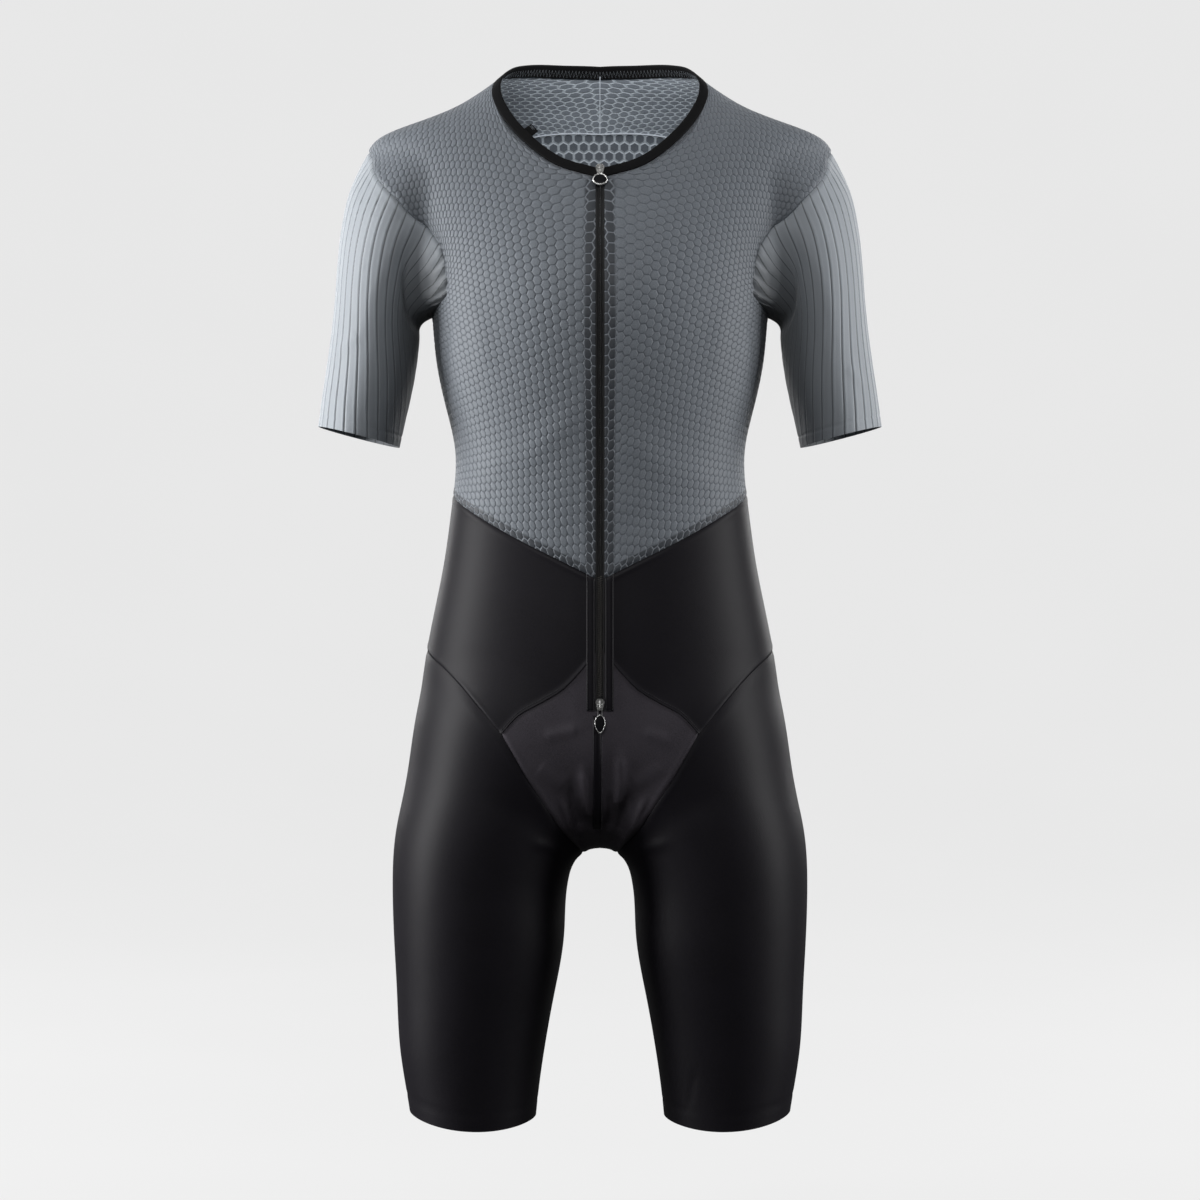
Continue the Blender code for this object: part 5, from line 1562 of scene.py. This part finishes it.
class SKINSUIT_OT_shorts(bpy.types.Operator):
    """The black shorts: lower fronts, crotch fronts, seat and legs"""
    bl_idname = "skinsuit.shorts"
    bl_label = "Stretch shorts"

    def execute(self, context):
        waist = finer_grid(waist_grid(seams()), WAIST_FINE, column_breaks=((), (HALF_LAP,)))
        crotch = finer_grid(crotch_grid(seams()), CROTCH_FINE, row_breaks=((BESIDE_STEPS,), ()))
        leg_corners = (0, LEG_FRONT_STEPS, LEG_FRONT_STEPS + CROTCH_STEPS)
        leg = finer_grid(leg_grid(seams()), LEG_FINE, column_breaks=(leg_corners, ()), closed=True)
        hip = (WAIST_STEPS,)
        seat = finer_grid(seat_grid(seams()), SEAT_FINE, row_breaks=(hip, hip))
        for side, label in ((1, "left"), (-1, "right")):
            self.one(f"waist_{label}", waist, side, (4, 4), [f"waist_panel_{label}"], self.waist_height)
            self.one(f"crotch_{label}", crotch, side, (4, 4), [f"crotch_panel_{label}"], self.crotch_height)
            self.one(f"leg_{label}", leg, side, (2, 3), [f"leg_panel_{label}"], self.leg_height, closed=True)
        self.one("seat", seat, 1, (3, 3), ["seat_panel"], self.seat_height)
        return {"FINISHED"}

    def one(self, name, grid, side, inner_steps, nodes, own_height, closed=False):
        grid = inset(grid, closed=closed, row_edges=FIRST_EDGE if closed else BOTH_EDGES)
        grid = settled(grid, 3)
        normal = outward(grid)
        if name == "seat":
            creases = creases_across(grid, SHORTS_CREASES)
        else:
            creases = crease_height(left_half(grid), SHORTS_CREASES, side)
        height = fold_height(grid) + creases + own_height(runs(grid))
        outer = grid + normal * height[..., None]
        knit = finish("crotch" if name.startswith("crotch") else "shorts")
        made = shell(name, outer, inner_steps, CLOTH, normal, side, None, knit, closed)
        add_piece(made, "root", nodes)

    def waist_height(self, far):
        """The lower front laps over the crotch front along its curved edge, and is sewn elsewhere."""
        columns = far["left"].shape[1]
        on_lap = (np.arange(columns) <= HALF_LAP * WAIST_FINE[1])[None]
        beside = np.clip((far["left"] - LAP_FROM_ZIP) / LAP_STARTS_OVER, 0, 1)
        lap = LAP_RISE * beside * soft_line(far["last"], LAP_REACH)
        sewn = seam_height(nearest_edge(far, "first", "right"))
        return sewn + np.where(on_lap, lap, seam_height(far["last"]))

    def crotch_height(self, far):
        sunk = -UNDER_LAP_SINK * soft_line(far["first"], UNDER_LAP_REACH)
        return sunk + seam_height(nearest_edge(far, "right", "last"))

    def leg_height(self, far):
        hem = -HEM_LINE_SINK * soft_line(far["last"] - HEM_LINE_AT, HEM_LINE_WIDTH)
        return seam_height(far["first"]) + hem

    def seat_height(self, far):
        return seam_height(nearest_edge(far, "first", "last", "left", "right"))


# The neck binding's section: how far each point is above the neckline seam, and how far out.
BINDING_SECTION = (
    (0.0000, -0.0002),
    (0.0003, 0.0003),
    (0.0014, 0.0005),
    (0.0046, 0.0006),
    (0.0080, 0.0005),
    (0.0089, 0.0003),
    (0.0093, -0.0002),
    (0.0093, -0.0008),
    (0.0089, -0.0013),
    (0.0078, -0.0016),
    (0.0052, -0.0016),
    (0.0026, -0.0016),
    (0.0000, -0.0016),
)
RIBS_BEFORE_TOP = 60.5
INSIDE_BAND_DROP = 0.0034
INSIDE_BAND_SINK = 0.0008
INSIDE_BAND_FROM = 9
INSIDE_BAND_BEHIND = 0.00125
NECK_FINE = 10
# The back of the neck starts at a depth and is whole a little further on.
NECK_BACK_FROM = 0.010
NECK_BACK_OVER = 0.020
COVER_STITCH_FROM = 0.012


def neck_lines():
    """The neckline seam round the neck, the way up from it and the way out, at fine steps."""
    left = finer_line(seams()["neckline"], 2 * NECK_FINE)
    edge = settled(np.concatenate([left, mirrored(left)[-2::-1]]), 3)
    along = np.gradient(edge, axis=0)
    out = outward(edge)
    up = -np.cross(along, out)
    up /= np.linalg.norm(up, axis=1, keepdims=True)
    return edge, up, out


def tube_faces(count, around, close_ends=True):
    """Faces of a tube of rings, each with the same number of points."""
    faces = []
    for i in range(count - 1):
        for j in range(around):
            a, b = i * around + j, i * around + (j + 1) % around
            faces.append((a, a + around, b + around, b))
    if close_ends:
        faces.append(tuple(range(around)))
        faces.append(tuple((count - 1) * around + j for j in range(around - 1, -1, -1)))
    return faces


class SKINSUIT_OT_neck(bpy.types.Operator):
    """The neck binding, folded over the edge, and the small tab inside it"""
    bl_idname = "skinsuit.neck"
    bl_label = "Neck binding and tab"

    def execute(self, context):
        edge, up, out = neck_lines()
        at_back = np.clip((edge[:, 1] - NECK_BACK_FROM) / NECK_BACK_OVER, 0, 1)
        last = len(BINDING_SECTION) - 1
        rings = []
        for k, (rise, lift) in enumerate(BINDING_SECTION):
            behind = np.clip((k - INSIDE_BAND_FROM) / (last - INSIDE_BAND_FROM), 0, 1)
            heights = rise - behind * INSIDE_BAND_DROP * at_back[:, None]
            lifts = lift - behind * INSIDE_BAND_SINK * at_back[:, None]
            rings.append(settled(edge + up * heights, 3) + out * lifts)
        lowest = settled(edge - up * INSIDE_BAND_DROP * at_back[:, None], 3)
        rings.append(lowest - out * INSIDE_BAND_BEHIND)
        rings.append(edge - out * INSIDE_BAND_BEHIND)
        points = np.stack(rings, axis=1)
        faces = tube_faces(len(edge), points.shape[1])
        made = mesh_object("neck_binding_piece", points.reshape(-1, 3), faces, finish("tape"))
        tidy_faces(made)
        add_piece(made, "root", ["neck_binding"])
        self.tab(edge, up, out)
        self.cover_stitch(edge, up, out)
        self.inside_seams()
        return {"FINISHED"}

    def tab(self, edge, up, out):
        """The small tab behind the binding's edge, with a dotted end."""
        ends = slice(TAB_STEPS[0], TAB_STEPS[1] + 1)
        base = settled(edge[ends] + up[ends] * BINDING_WIDTH / 2, 3)
        free = settled(edge[ends] + up[ends] * BINDING_WIDTH, 3)
        rise = (free - base) / np.linalg.norm(free - base, axis=1, keepdims=True)
        rows = [base + (free - base) * share for share in np.linspace(0.1, 1, 6)]
        rows += [free + rise * TAB_RISE * share for share in np.linspace(0.1, 1, 10)]
        grid = np.stack(rows, axis=0)
        normal = np.broadcast_to(out[ends].mean(axis=0), grid.shape)
        near = runs(grid)
        ridge = -TAB_EDGE_SINK * soft_line(nearest_edge(near, "left", "right"), TAB_EDGE_WIDTH)
        outer = grid + normal * (ridge - CLOTH - SEAM_GAP)[..., None]
        made = shell("neck_tab_piece", outer, (1, 1), TAB_CLOTH, normal, 1, None, finish("tape"))
        add_piece(made, "root", ["neck_tab"])
        paths = []
        for row in (-2, -3, -4):
            line = outer[row, 1:-1]
            if row == -3:
                line = line + (outer[row, 2:] - line) * 0.5
            paths += stitch_row(line, normal[row, 1:-1], *TAB_DOTS)
        threads("neck_tab_dots", paths, TAB_DOT_RADIUS, finish("grey_thread"))

    def cover_stitch(self, edge, up, out):
        """Zigzag cover stitching on the binding's inner face, round the back of the neck."""
        run = lengths_along(edge)
        at_back = run[edge[:, 1] > COVER_STITCH_FROM]
        count = int((at_back[-1] - at_back[0]) / ZIGZAG_PITCH)
        spots, heights = [], []
        for k in range(count):
            for height, shift in ZIGZAG:
                spots.append(at_back[0] + (k + shift) * ZIGZAG_PITCH)
                heights.append(height)
        spots, heights = np.array(spots), np.array(heights)[:, None]
        way = at_lengths(out, run, spots)
        points = at_lengths(edge, run, spots) + at_lengths(up, run, spots) * heights
        sunk = np.clip(-heights / INSIDE_BAND_DROP, 0, 1) * INSIDE_BAND_SINK
        points = settled(points, 3) + way * (INSIDE_FACE - COVER_STITCH_SINK - sunk)
        thread = finish("grey_thread")
        threads("neck_cover_stitch", [(points, -way)], COVER_STITCH_RADIUS, thread)

    def inside_seams(self):
        """The light ridges of the centre back seam and the yoke seam, inside."""
        yoke = finer_line(seams()["yoke"], 10)
        across = np.concatenate([mirrored(yoke)[::-1], yoke[1:]])[YOKE_RIDGE_STOPS:-YOKE_RIDGE_STOPS]
        down = finer_line(seams()["centre_back"], 16)
        for name, line in (("yoke_seam_ridge", across), ("centre_back_seam_ridge", down)):
            line, out = panel_line(line, -CLOTH - INSIDE_RIDGE_SINK)
            threads(name, [(line, out)], INSIDE_RIDGE_RADIUS, finish("seam_ridge"))


def tidy_faces(made):
    """Faces turned outwards, and doubled points joined."""
    work = bmesh.new()
    work.from_mesh(made.data)
    bmesh.ops.recalc_face_normals(work, faces=work.faces)
    work.to_mesh(made.data)
    work.free()
    made.data.shade_smooth()
    made.data.set_sharp_from_angle(angle=TUBE_SHARP_ANGLE)


# A zip tape's section: how far from the zip's middle, and how high. Its woven cords stand up
# beside the coil.
TAPE_SECTION = (
    (0.00002, -0.00030),
    (0.00060, 0.00010),
    (0.00110, 0.00010),
    (0.00160, -0.00030),
    (0.00220, 0.00005),
    (0.00270, -0.00030),
    (0.00320, -0.00010),
    (0.00390, -0.00040),
    (0.00550, -0.00080),
    (0.00900, -0.00080),
    (0.01300, -0.00060),
)
TAPE_TOP = -0.0856
TAPE_END = -0.5945
COIL_END = -0.5665
# One tooth of the coil: how far each of its points is from the zip's middle and above the tape.
TOOTH = ((0.00020, -0.0002), (0.00060, 0.0004), (0.00130, 0.0005), (0.00190, 0.0003), (0.00210, -0.0003))
TOOTH_RADIUS = 0.00034
TOOTH_SLANT = 0.3
COIL_BELOW_SEAM = 0.002
COIL_MARGIN = 0.006
COIL_MIDDLE = 0.0012

# The strip beside the zip: shares of its width and how much it stands up there.
PLACKET_SECTION = (
    (0.00, -0.0006),
    (0.03, -0.0001),
    (0.08, 0.0001),
    (0.14, -0.0002),
    (0.20, 0.0000),
    (0.50, 0.0001),
    (0.80, 0.0000),
    (0.86, -0.0002),
    (0.92, 0.0001),
    (0.97, -0.0001),
    (1.00, -0.0006),
)
PLACKET_ROWS = 80
PLACKET_STITCHES = (0.0010, 0.0068)
PLACKET_EDGE_SINK = 0.0006
PLACKET_EDGE_WIDTH = 0.0008

# The folded strip of cloth over the centre seam, below the zip.
FLAP_SIDES = (-0.0066, 0.0010)
FLAP_ENDS = (-0.6900, -0.5840)
FLAP_CLOTH = 0.0008
FLAP_ENDS_FADE = 14
FLAP_ENDS_LEAST = 0.15
FLAP_WAVE = (0.25, 9.0, 0.6)
FLAP_LIFTS = (0.0009, 0.0019, 0.0018, 0.0014, 0.0012, 0.0013, 0.0012, 0.0008, 0.0002)

SLIDER_TOP = BINDING_RAISE + SEAM_GAP + 0.0013
PULL_AXIS_ABOVE_PLATE = 0.0009
PULL_FACE = 0.0006
PULL_RIM_SHARE = 0.90
# The dark face's rings, from its back to its middle: share of the pull's size, and lift.
FACE_RINGS = ((0.86, -0.0002), (0.86, 0.0001), (0.70, 0.00035), (0.45, 0.0005), (0.2, 0.00058))
# The pulls: name, slider's height, half width, half length, centre from the hinge, how pointed,
# and the rim's radius.
PULLS = (
    ("upper", -0.0860, 0.0070, 0.0060, 0.0118, 0.0, 0.00062),
    ("lower", -0.5740, 0.0050, 0.0088, 0.0175, 0.45, 0.00036),
)
PULL_STEPS = 48
TAB_STEPS = (273, 279)
TAB_RISE = 0.0085
TAB_CLOTH = 0.0009
TAB_EDGE_SINK = 0.0003
TAB_EDGE_WIDTH = 0.0006
# A row of stitches has a gap between them and a lift. The tab's dots start with their length.
TAB_DOTS = (0.0005, 0.0009, 0.0001)
TAB_DOT_RADIUS = 0.00015
COVER_STITCH_RADIUS = 0.00030
COVER_STITCH_SINK = 0.0001
INSIDE_RIDGE_RADIUS = 0.00075
INSIDE_RIDGE_SINK = 0.0007
PLACKET_STITCH = (0.0004, 0.0001)
# The lapped seam's row also has the shares of the seam where it starts and ends.
LAP_STITCH = (0.0006, 0.00015, 0.45, 1.0)
CENTRE_STITCH = (0.0005, 0.0003)
CENTRE_STITCH_X = 0.0018
CENTRE_STITCH_END = -0.690
CENTRE_STITCH_LIFT = 0.0007
CENTRE_THREAD_SHARE = 1.1
ZIGZAG = ((0.0046, 0.0), (-0.0020, 0.5))
ZIGZAG_PITCH = 0.0034
YOKE_RIDGE_STOPS = 40
INSIDE_FACE = -0.0016


def stitch_row(line, out, length, gap, lift, start=0.0, end=1.0):
    """Single stitches along a line, each with its ends down in the cloth."""
    run = lengths_along(line)
    count = int(run[-1] // (length + gap))
    found = []
    for k in range(int(count * start), int(count * end)):
        spots = k * (length + gap) + np.linspace(0, length, 5)
        outs = at_lengths(out, run, spots)
        rise = lift * np.array((-0.6, 0.7, 1.0, 0.7, -0.6))
        found.append((at_lengths(line, run, spots) + outs * rise[:, None], outs))
    return found


def threads(name, paths, radius, colour, around=6, closed=False, body="root"):
    """Round threads in one piece. A path is its points and the way out at each of them."""
    turns = np.linspace(0, 2 * math.pi, around, endpoint=False)
    points, faces = [], []
    for path, out in paths:
        steps = np.gradient(path, axis=0)
        if closed:
            steps = np.roll(path, -1, axis=0) - np.roll(path, 1, axis=0)
        along = steps / np.linalg.norm(steps, axis=1, keepdims=True)
        across = np.cross(along, out)
        across /= np.linalg.norm(across, axis=1, keepdims=True)
        rise = np.cross(across, along)
        ring = np.cos(turns)[None, :, None] * across[:, None] + np.sin(turns)[None, :, None] * rise[:, None]
        first = len(points)
        points += (path[:, None] + radius * ring).reshape(-1, 3).tolist()
        count = len(path)
        if closed:
            for i in range(count):
                for j in range(around):
                    a, b = i * around, (i + 1) % count * around
                    k = (j + 1) % around
                    faces.append((first + a + j, first + b + j, first + b + k, first + a + k))
        else:
            faces += [tuple(first + corner for corner in face) for face in tube_faces(count, around)]
    made = mesh_object(name, points, faces, colour)
    tidy_faces(made)
    return add_piece(made, body, [])


def paths_on_side(paths, side):
    return [(on_side(path, side), on_side(out, side)) for path, out in paths]


def panel_line(line, lift):
    """A line on the form moved out by a lift, and the way out along it."""
    out = outward(line)
    return line + out * lift, out


class SKINSUIT_OT_zip(bpy.types.Operator):
    """The zip: a woven tape on each side and the coil's two rows of teeth"""
    bl_idname = "skinsuit.zip"
    bl_label = "Zip tapes and coil"

    def execute(self, context):
        lines = [straight_up(x, TAPE_TOP, TAPE_END, 240) for x, _ in TAPE_SECTION]
        grid = np.stack(lines, axis=1)
        normal = outward(grid)
        lift = np.array([lift for _, lift in TAPE_SECTION])[None]
        outer = grid + normal * (lift - CLOTH - SEAM_GAP)[..., None]
        for side, label in ((1, "left"), (-1, "right")):
            name = f"zip_tape_{label}_piece"
            made = shell(name, outer, (4, 2), TAPE_CLOTH * 0.8, normal, side, None, finish("woven_tape"))
            add_piece(made, "root", [f"zip_tape_{label}"])
            self.coil(label, side)
        return {"FINISHED"}

    def coil(self, label, side):
        """One row of teeth, half a pitch from the other side's."""
        pitch = settings("zip").tooth_pitch
        heights = np.arange(V_SEAM_CENTRE + COIL_BELOW_SEAM, COIL_END, -pitch)
        heights = heights - (pitch / 2 if side < 0 else 0)
        ends = (V_SEAM_CENTRE + COIL_MARGIN, COIL_END - COIL_MARGIN)
        middle = straight_up(COIL_MIDDLE, *ends, 60)
        out = outward(middle)
        paths = []
        for height in heights:
            y = np.interp(height, middle[:, 2], middle[:, 1])
            way = at_lengths(out, middle[:, 2], [height])[0]
            tooth = np.array([(x, y, height - TOOTH_SLANT * x) for x, _ in TOOTH])
            tooth += way * (np.array([lift for _, lift in TOOTH]) - CLOTH - SEAM_GAP)[:, None]
            paths.append((on_side(tooth, side), np.tile(on_side(way, side), (len(TOOTH), 1))))
        threads(f"zip_coil_{label}", paths, TOOTH_RADIUS, finish("coil"))


class SKINSUIT_OT_plackets(bpy.types.Operator):
    """The folded strips beside the zip, and the strip over the centre seam"""
    bl_idname = "skinsuit.plackets"
    bl_label = "Strips beside the zip"

    def execute(self, context):
        first, wide = ZIP_HALF_GAP + 2 * SEAM_GAP, PLACKET_WIDTH - 3 * SEAM_GAP
        seam = seams()["v_seam"]
        lines = []
        for share, _ in PLACKET_SECTION:
            x = first + share * wide
            top = np.interp(x, seam[:, 0], seam[:, 2]) - SEAM_GAP
            lines.append(straight_up(x, top, ZIP_END, PLACKET_ROWS))
        grid = np.stack(lines, axis=1)
        normal = outward(grid)
        far = runs(grid)
        rounded = -PLACKET_EDGE_SINK * soft_line(nearest_edge(far, "first", "last"), PLACKET_EDGE_WIDTH)
        lift = np.array([lift for _, lift in PLACKET_SECTION])[None]
        raised = lift + rounded + PLACKET_CLOTH + SEAM_GAP
        outer = grid + normal * raised[..., None]
        sewing = settings("sewing")
        for side, label in ((1, "left"), (-1, "right")):
            name = f"placket_{label}_piece"
            made = shell(name, outer, (4, 2), PLACKET_CLOTH, normal, side, None, finish("shorts"))
            add_piece(made, "root", [f"placket_{label}"])
            paths = []
            for away in PLACKET_STITCHES:
                line = straight_up(first + away, grid[-1, 0, 2] - 0.002, ZIP_END + 0.001, 120)
                line, out = panel_line(line, PLACKET_CLOTH + SEAM_GAP)
                paths += stitch_row(line, out, sewing.stitch_length, *PLACKET_STITCH)
            end = [(first + share * wide, -0.1, ZIP_END + 0.0008) for share in (0.05, 0.5, 0.95)]
            line, out = panel_line(finer_line(settled(np.array(end)), 8), PLACKET_CLOTH + SEAM_GAP)
            paths += stitch_row(line, out, sewing.stitch_length, *PLACKET_STITCH)
            paths = paths_on_side(paths, side)
            threads(f"placket_{label}_stitches", paths, sewing.thread_radius, finish("black_thread"))
        self.flap()
        return {"FINISHED"}

    def flap(self):
        """The strip over the centre seam: its free edge is folded, its other edge sewn down."""
        count = len(FLAP_LIFTS)
        lines = [straight_up(x, FLAP_ENDS[1], FLAP_ENDS[0], 60) for x in np.linspace(*FLAP_SIDES, count)]
        grid = np.stack(lines, axis=1)
        normal = outward(grid)
        up = np.linspace(0, 1, len(grid))[:, None]
        ends = np.clip(np.minimum(up, 1 - up) * FLAP_ENDS_FADE, FLAP_ENDS_LEAST, 1)
        size, turns, start = FLAP_WAVE
        wave = 1 + size * np.sin(up * turns + start)
        lift = np.array(FLAP_LIFTS)[None] * ends * wave + FLAP_CLOTH * ends
        outer = grid + normal * lift[..., None]
        made = shell("centre_flap", outer, (4, 2), FLAP_CLOTH, normal, 1, None, finish("shorts"))
        add_piece(made, "root", [])


class SKINSUIT_OT_sewing(bpy.types.Operator):
    """Stitches that show: beside the lapped seams and down the centre front of the shorts"""
    bl_idname = "skinsuit.sewing"
    bl_label = "Shorts stitching"

    def execute(self, context):
        sewing = settings("sewing")
        lap = finer_line(seams()["lap"], 24)
        for side, label in ((1, "left"), (-1, "right")):
            up = settled(lap + np.array((0.0, 0.0, sewing.lap_stitch_rise)), 3)
            line, out = panel_line(up, LAP_RISE * 0.5)
            paths = stitch_row(line, out, sewing.stitch_length, *LAP_STITCH)
            paths = paths_on_side(paths, side)
            threads(f"lap_stitches_{label}", paths, sewing.thread_radius, finish("black_thread"))
        centre = straight_up(CENTRE_STITCH_X, ZIP_END - 0.004, CENTRE_STITCH_END, 120)
        line, out = panel_line(centre, CENTRE_STITCH_LIFT)
        paths = stitch_row(line, out, sewing.stitch_length, *CENTRE_STITCH)
        radius = sewing.thread_radius * CENTRE_THREAD_SHARE
        threads("centre_stitches", paths, radius, finish("seam_thread"))
        return {"FINISHED"}


def pull_outline(half_x, half_y, centre_y, point, share=1.0):
    """A pull's oval, drawn to a point at its far end where point is above 0."""
    turn = np.linspace(0, 2 * math.pi, PULL_STEPS, endpoint=False)
    narrow = 1 - point * np.maximum(0, np.sin(turn)) ** 2
    across = share * half_x * np.cos(turn) * narrow
    return np.stack([across, centre_y + share * half_y * np.sin(turn)], axis=1)


class SKINSUIT_OT_sliders(bpy.types.Operator):
    """The two sliders and pulls in brushed metal, each pull with a raised rim round a dark face"""
    bl_idname = "skinsuit.sliders"
    bl_label = "Sliders and pulls"

    def execute(self, context):
        for name, height, *sizes, rim_radius in PULLS:
            for node in (f"{name}_slider", f"{name}_pull"):
                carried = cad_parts[node]
                for place in carried.material_slots:
                    place.material = finish("metal")
            point, down, out = zip_frame(height)
            axes = np.array((np.cross(down, out), down, out))
            hinge = point + out * (SLIDER_TOP + PULL_AXIS_ABOVE_PLATE)
            rim = pull_outline(*sizes, share=PULL_RIM_SHARE)
            rim = np.column_stack([rim, np.full(len(rim), PULL_FACE)]) @ axes + hinge
            outs = np.tile(out, (len(rim), 1))
            paths, metal, body = [(rim, outs)], finish("metal"), f"{name}_pull"
            threads(f"{name}_pull_rim", paths, rim_radius, metal, 8, True, body)
            self.face(name, sizes, axes, hinge)
        return {"FINISHED"}

    def face(self, name, sizes, axes, hinge):
        """The pull's dark face, a little domed."""
        rings = []
        for share, lift in FACE_RINGS:
            ring = pull_outline(*sizes, share=share)
            rings.append(np.column_stack([ring, np.full(len(ring), PULL_FACE + lift)]))
        points = np.concatenate(rings) @ axes + hinge
        faces = tube_faces(len(rings), PULL_STEPS)
        made = mesh_object(f"{name}_pull_face", points, faces, finish("dark_enamel"))
        tidy_faces(made)
        add_piece(made, f"{name}_pull", [])


# The studio: the camera looks level at the suit's middle from in front.
CAMERA_DISTANCE = 2.8
CAMERA_HEIGHT = -0.4794
VIEW_WIDTH = 1.128
FLOOR_HEIGHT = -1.060
BOWL_FLAT = 2.2
BOWL_RADIUS = 5.0
BOWL_TOP = 3.2
FLOOR_RINGS = (0.6, 1.2, 1.8)
BEND_STEPS = 16

# Soft lights: name, place, width and height, and share of the light power.
STUDIO_LIGHTS = (
    ("side_light_right", (-2.40, -0.25, 0.00), (0.9, 2.2), 1.10),
    ("side_light_left", (2.40, -0.25, 0.00), (0.9, 2.2), 0.60),
    ("front_light", (-0.50, -2.60, 1.00), (1.6, 0.9), 0.34),
    ("top_light", (0.00, -0.40, 1.90), (1.4, 1.0), 0.05),
    ("back_light_left", (1.50, 2.20, 0.40), (1.0, 1.8), 0.25),
    ("back_light_right", (-1.50, 2.20, 0.40), (1.0, 1.8), 0.25),
)
NECK_FILL_PLACE = (0.0, -0.030, 0.050)
NECK_FILL_AIM = (0.0, 0.070, -0.030)
NECK_FILL_SIZE = (0.12, 0.03)
LIGHTS_AIM_ABOVE = 0.12
SENSOR_WIDTH = 36.0
WORLD_GREY = (0.86, 0.86, 0.87, 1)


class SKINSUIT_OT_studio(bpy.types.Operator):
    """Pale floor that curves up into a backdrop, soft lights and the camera"""
    bl_idname = "skinsuit.studio"
    bl_label = "Studio"

    def execute(self, context):
        studio = settings("studio")
        profile = [(0.0, FLOOR_HEIGHT)]
        profile += [(radius, FLOOR_HEIGHT) for radius in (*FLOOR_RINGS, BOWL_FLAT)]
        bend = BOWL_RADIUS - BOWL_FLAT
        for k in range(1, BEND_STEPS + 1):
            turn = math.pi / 2 * k / BEND_STEPS
            height = FLOOR_HEIGHT + bend * (1 - math.cos(turn))
            profile.append((BOWL_FLAT + bend * math.sin(turn), height))
        profile.append((BOWL_RADIUS, BOWL_TOP))
        turns = np.linspace(0, 2 * math.pi, studio.bowl_steps, endpoint=False)
        points, faces = [(0.0, 0.0, FLOOR_HEIGHT)], []
        for radius, height in profile[1:]:
            points += [(radius * math.cos(t), radius * math.sin(t), height) for t in turns]
        wide = len(turns)
        for j in range(wide):
            faces.append((0, 1 + j, 1 + (j + 1) % wide))
        for i in range(len(profile) - 2):
            for j in range(wide):
                a, b = 1 + i * wide + j, 1 + i * wide + (j + 1) % wide
                faces.append((a, a + wide, b + wide, b))
        paper = studio_material("studio_paper", studio.backdrop)
        backdrop = mesh_object("studio_floor", points, faces, paper)
        backdrop.visible_diffuse = backdrop.visible_glossy = False
        for name, place, size, share in STUDIO_LIGHTS:
            self.light(name, place, size, share * studio.light_power)
        fill = self.light("neck_fill", NECK_FILL_PLACE, NECK_FILL_SIZE, studio.neck_fill * studio.light_power)
        fill.rotation_euler = (Vector(NECK_FILL_AIM) - fill.location).to_track_quat("-Z", "Y").to_euler()
        world = context.scene.world or bpy.data.worlds.new("studio_world")
        context.scene.world = world
        world.use_nodes = True
        surround = world.node_tree.nodes["Background"]
        surround.inputs["Color"].default_value = WORLD_GREY
        surround.inputs["Strength"].default_value = studio.ambient
        context.scene.view_settings.view_transform = "Standard"
        data = bpy.data.cameras.new("front_camera")
        data.sensor_width = SENSOR_WIDTH
        data.lens = SENSOR_WIDTH * CAMERA_DISTANCE / VIEW_WIDTH
        camera = bpy.data.objects.new("front_camera", data)
        camera.location = (0.0, -CAMERA_DISTANCE, CAMERA_HEIGHT)
        camera.rotation_euler = (math.radians(90), 0, 0)
        context.scene.collection.objects.link(camera)
        context.scene.camera = camera
        return {"FINISHED"}

    def light(self, name, place, size, power):
        data = bpy.data.lights.new(name, "AREA")
        data.shape = "RECTANGLE"
        data.size, data.size_y = size
        data.energy = power
        made = bpy.data.objects.new(name, data)
        made.location = place
        aim = Vector((0, 0, CAMERA_HEIGHT + LIGHTS_AIM_ABOVE)) - Vector(place)
        made.rotation_euler = aim.to_track_quat("-Z", "Y").to_euler()
        made.visible_camera = False
        bpy.context.scene.collection.objects.link(made)
        return made


GROUPS = {
    "cloth": ClothSettings,
    "sewing": SewingSettings,
    "zip": ZipSettings,
    "studio": StudioSettings,
}
PIECES = (
    SKINSUIT_OT_studio,
    SKINSUIT_OT_fronts,
    SKINSUIT_OT_back,
    SKINSUIT_OT_sleeves,
    SKINSUIT_OT_shorts,
    SKINSUIT_OT_neck,
    SKINSUIT_OT_zip,
    SKINSUIT_OT_plackets,
    SKINSUIT_OT_sewing,
    SKINSUIT_OT_sliders,
)


class SKINSUIT_PT_pieces(bpy.types.Panel):
    """The suit's pieces, and the sizes and colours that they are made with"""
    bl_label = "Skinsuit"
    bl_idname = "SKINSUIT_PT_pieces"
    bl_space_type = "VIEW_3D"
    bl_region_type = "UI"
    bl_category = "Skinsuit"

    def draw(self, context):
        for piece in PIECES:
            self.layout.operator(piece.bl_idname)
        for name, group in GROUPS.items():
            box = self.layout.box()
            for prop in group.bl_rna.properties:
                if not prop.is_readonly and prop.identifier != "name":
                    box.prop(settings(name), prop.identifier)


def register():
    for item in (*GROUPS.values(), *PIECES, SKINSUIT_PT_pieces):
        bpy.utils.register_class(item)
    for name, group in GROUPS.items():
        setattr(bpy.types.Scene, f"skinsuit_{name}", PointerProperty(type=group))


def unregister():
    for name in GROUPS:
        delattr(bpy.types.Scene, f"skinsuit_{name}")
    for item in reversed((*GROUPS.values(), *PIECES, SKINSUIT_PT_pieces)):
        bpy.utils.unregister_class(item)


def main():
    """The classes registered and each piece made in turn."""
    register()
    for piece in PIECES:
        group, name = piece.bl_idname.split(".")
        getattr(getattr(bpy.ops, group), name)()


if __name__ == "__main__":
    main()
